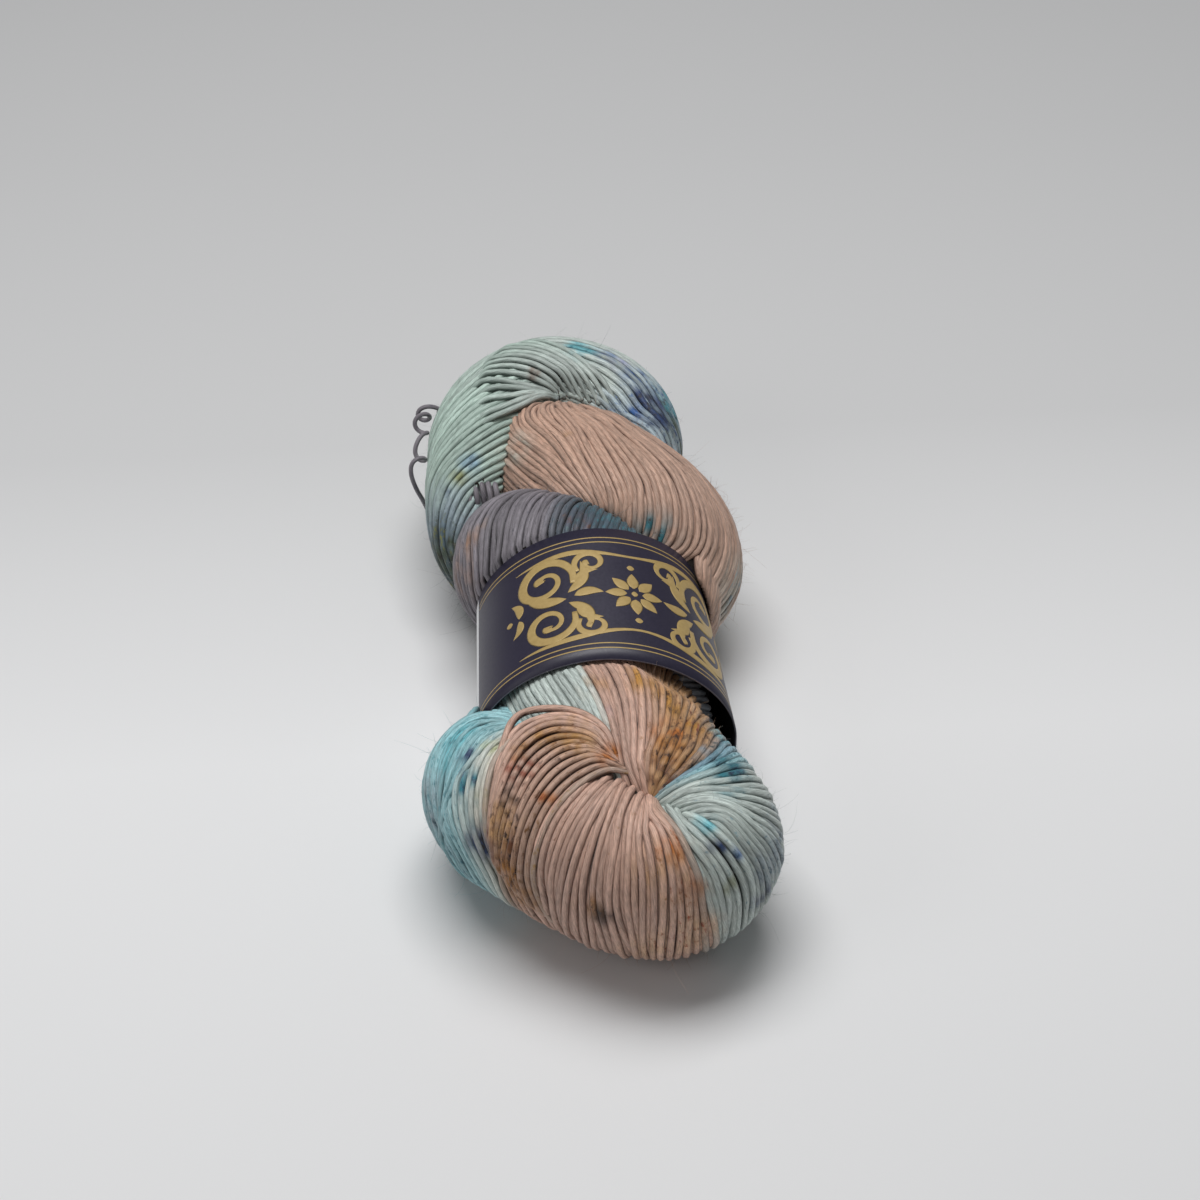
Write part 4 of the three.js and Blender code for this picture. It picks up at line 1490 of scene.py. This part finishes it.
def scroll(x, y, size, start, turns, thick, tail=()):
    """A curl that winds in from start degrees, closed by a bud. The tail's points lead into it."""
    n = max(8, int(abs(turns) * 12))
    share = np.linspace(0, 1, n)
    angle = np.radians(start) + 2 * np.pi * turns * share
    reach = size * (1 - share) ** 0.75 + 0.12 * size
    points = np.c_[x + reach * np.cos(angle), y + reach * np.sin(angle)]
    widths = thick * (0.55 + 0.75 * np.sin(np.pi * np.minimum(share * 1.5, 1.0)) * (1 - share)) + 0.0 * share
    widths[-2:] = thick * 1.25, thick * 0.9
    if len(tail):
        points = np.vstack([tail, points])
        widths = np.r_[np.linspace(0.3, widths[0], len(tail)), widths]
    return stroke(points, widths, 4)


def leaf(x, y, heading, length, width, bend=0.25):
    """A leaf from its stalk at (x, y), pointed at both ends."""
    share = np.linspace(0, 1, 9)
    a = np.radians(heading)
    side = bend * length * np.sin(np.pi * share)
    points = np.c_[
        x + length * share * math.cos(a) - side * math.sin(a),
        y + length * share * math.sin(a) + side * math.cos(a),
    ]
    return stroke(points, width * np.sin(np.pi * share**0.8) ** 0.9 + 0.1, 3)


strokes = []
for across in (3.9, 5.5, 41.3, 42.9):
    rule_line = [(x, across) for x in np.linspace(PRINT_LEFT + 0.6, PRINT_RIGHT - 0.6, 60)]
    strokes.append(stroke(rule_line, np.full(60, 0.38), 2))
for side, x0 in ((-1, -6.5), (1, 24.5)):
    left = side < 0
    strokes += [
        scroll(x0 + side * 6.4, 30.2, 7.0, -20 if left else 200, -1.5 * side, 2.7),
        scroll(x0 + side * 5.6, 15.2, 5.9, 20 if left else 160, 1.45 * side, 2.4),
        scroll(x0 - side * 5.6, 34.0, 3.7, 220 if left else 320, 1.2 * side, 1.9),
        scroll(x0 - side * 4.8, 12.2, 3.4, 140 if left else 40, -1.2 * side, 1.8),
        leaf(x0 + side * 1.0, 22.5, 90 - side * 62, 12.0, 3.4, -0.16 * side),
        leaf(x0 + side * 0.5, 24.5, 90 + side * 20, 11.0, 3.0, 0.2 * side),
        leaf(x0 + side * 0.5, 21.0, -90 - side * 24, 11.0, 3.0, -0.2 * side),
        leaf(x0 - side * 1.0, 23.0, 90 + side * 88, 7.0, 3.0, 0.12),
        leaf(x0 - side * 1.5, 26.6, 90 + side * 50, 7.5, 2.2, -0.22 * side),
        leaf(x0 - side * 1.5, 19.4, -90 - side * 50, 7.5, 2.2, 0.22 * side),
        leaf(x0 + side * 13.6, 22.2, 90 - side * 20, 6.0, 2.4, 0.2 * side),
        leaf(x0 + side * 13.6, 21.4, -90 + side * 20, 5.6, 2.2, -0.2 * side),
    ]
for k in range(8):
    a = k * math.pi / 4
    strokes.append(leaf(9.0 + 1.9 * math.cos(a), 23.2 + 1.9 * math.sin(a), 45 * k, 5.2, 3.0, 0.0))
dot_line = [(8.2, 23.2), (8.6, 23.2), (9.0, 23.2), (9.4, 23.2), (9.8, 23.2)]
strokes.append(stroke(dot_line, [0.3, 1.5, 1.9, 1.5, 0.3], 4))
for across, sag in ((38.4, -1.9), (8.4, 2.2)):
    arc = [(-20.5, across - 0.8), (-6, across), (9, across + sag), (24, across), (37.5, across - 0.8)]
    strokes.append(stroke(arc, [0.3, 1.9, 0.8, 1.9, 0.3]))
for x, y in ((9, 32.4), (9, 14.0), (-23.0, 22), (-1.6, 31.5), (19.6, 31.5), (-1.0, 14.5), (19.0, 14.5)):
    dot_line = [(x - 0.95, y), (x - 0.5, y), (x, y), (x + 0.5, y), (x + 0.95, y)]
    strokes.append(stroke(dot_line, [0.2, 1.5, 1.9, 1.5, 0.2], 3))

gold_mesh = tubes("gold_ornament", strokes, 1.0)
flat = np.empty(len(gold_mesh.vertices) * 3)
gold_mesh.vertices.foreach_get("co", flat)
flat = flat.reshape(-1, 3) * 1000 - SHIFT
placed = on_band(flat[:, 0], flat[:, 1], 0.012 + 0.045 * np.clip(flat[:, 2], -0.3, 1.0))
gold_mesh.vertices.foreach_set("co", in_frame(placed).ravel())
gold_mesh.update()
gold_ink, nodes, links, shader = new_material("gold_ink")
where = node(nodes, "ShaderNodeTexCoord")
grain = node(nodes, "ShaderNodeTexNoise")
grain.inputs["Scale"].default_value = 900.0
links.new(where.outputs["Object"], grain.inputs["Vector"])
ramp = node(nodes, "ShaderNodeValToRGB")
ramp.color_ramp.elements[0].color = (0.36, 0.245, 0.085, 1)
ramp.color_ramp.elements[1].color = (0.50, 0.36, 0.145, 1)
links.new(grain.outputs["Fac"], ramp.inputs["Fac"])
links.new(ramp.outputs["Color"], shader.inputs["Base Color"])
shader.inputs["Roughness"].default_value = 0.45
shader.inputs["Metallic"].default_value = 0.15
gold = show("gold_ornament", gold_mesh, gold_ink)
print("ornament", len(strokes), "strokes")

# %% [markdown]
# ## Table and light
# The skein lies on a seamless white sheet. It is brightest in front and falls off into shade at the back,
# where the lamp doesn't reach; that shade is painted into the sheet, a colour ramp on its own Object
# coordinates.
# One broad soft light hangs over it, a little behind, and a weak one fills from the left. The room gives
# little light of its own, so the shadow under the lifted near end stays deep.

# %% Sheet
floor_mesh = bpy.data.meshes.new("table_sheet")
bm = bmesh.new()
bmesh.ops.create_grid(bm, x_segments=1, y_segments=1, size=3.0)
bm.to_mesh(floor_mesh)
bm.free()
floor = bpy.data.objects.new("table_sheet", floor_mesh)
scene.collection.objects.link(floor)
table_sheet, nodes, links, shader = new_material("pale_sheet")
where = node(nodes, "ShaderNodeTexCoord")
split = node(nodes, "ShaderNodeSeparateXYZ")
links.new(where.outputs["Object"], split.inputs[0])
span = node(nodes, "ShaderNodeMapRange")
span.inputs["From Min"].default_value = -0.2
span.inputs["From Max"].default_value = 0.4
links.new(split.outputs["Y"], span.inputs["Value"])
tone = node(nodes, "ShaderNodeValToRGB")
# painted shade: the sheet's tone falls from 0.74 in front to 0.46 at the back
SHEET_PAINTED_SHADE_TONES = ((0.0, 0.74), (0.30, 0.74), (0.42, 0.64), (0.50, 0.56), (0.75, 0.50), (1.0, 0.46))
ramp = tone.color_ramp
while len(ramp.elements) < len(SHEET_PAINTED_SHADE_TONES):
    ramp.elements.new(0.5)
for element, (place, value) in zip(ramp.elements, SHEET_PAINTED_SHADE_TONES):
    element.position = place
    element.color = (value, value, value * 1.005, 1)
links.new(span.outputs[0], tone.inputs["Fac"])
links.new(tone.outputs["Color"], shader.inputs["Base Color"])
shader.inputs["Roughness"].default_value = 0.85
shader.inputs["Specular IOR Level"].default_value = 0.15
floor_mesh.materials.append(table_sheet)
print("sheet", len(SHEET_PAINTED_SHADE_TONES), "tones")


# %% Lights
def soft_light(name, place, size, power):
    lamp = bpy.data.lights.new(name, "AREA")
    lamp.shape = "RECTANGLE"
    lamp.size, lamp.size_y = size
    lamp.energy = power
    holder = bpy.data.objects.new(name, lamp)
    scene.collection.objects.link(holder)
    holder.location = place
    holder.rotation_euler = (LOOK_AT - Vector(place)).to_track_quat("-Z", "Y").to_euler()


soft_light("overhead", (-0.05, 0.19, 1.0), (0.8, 0.45), 9.3)
soft_light("left_fill", (-0.85, -0.35, 0.6), (0.5, 0.5), 1.0)
world = bpy.data.worlds.new("room")
world.use_nodes = True
world.node_tree.nodes["Background"].inputs[0].default_value = (0.96, 0.98, 1.0, 1)
world.node_tree.nodes["Background"].inputs[1].default_value = 0.18
scene.world = world
scene.view_settings.view_transform = "Standard"
print("lights ready")
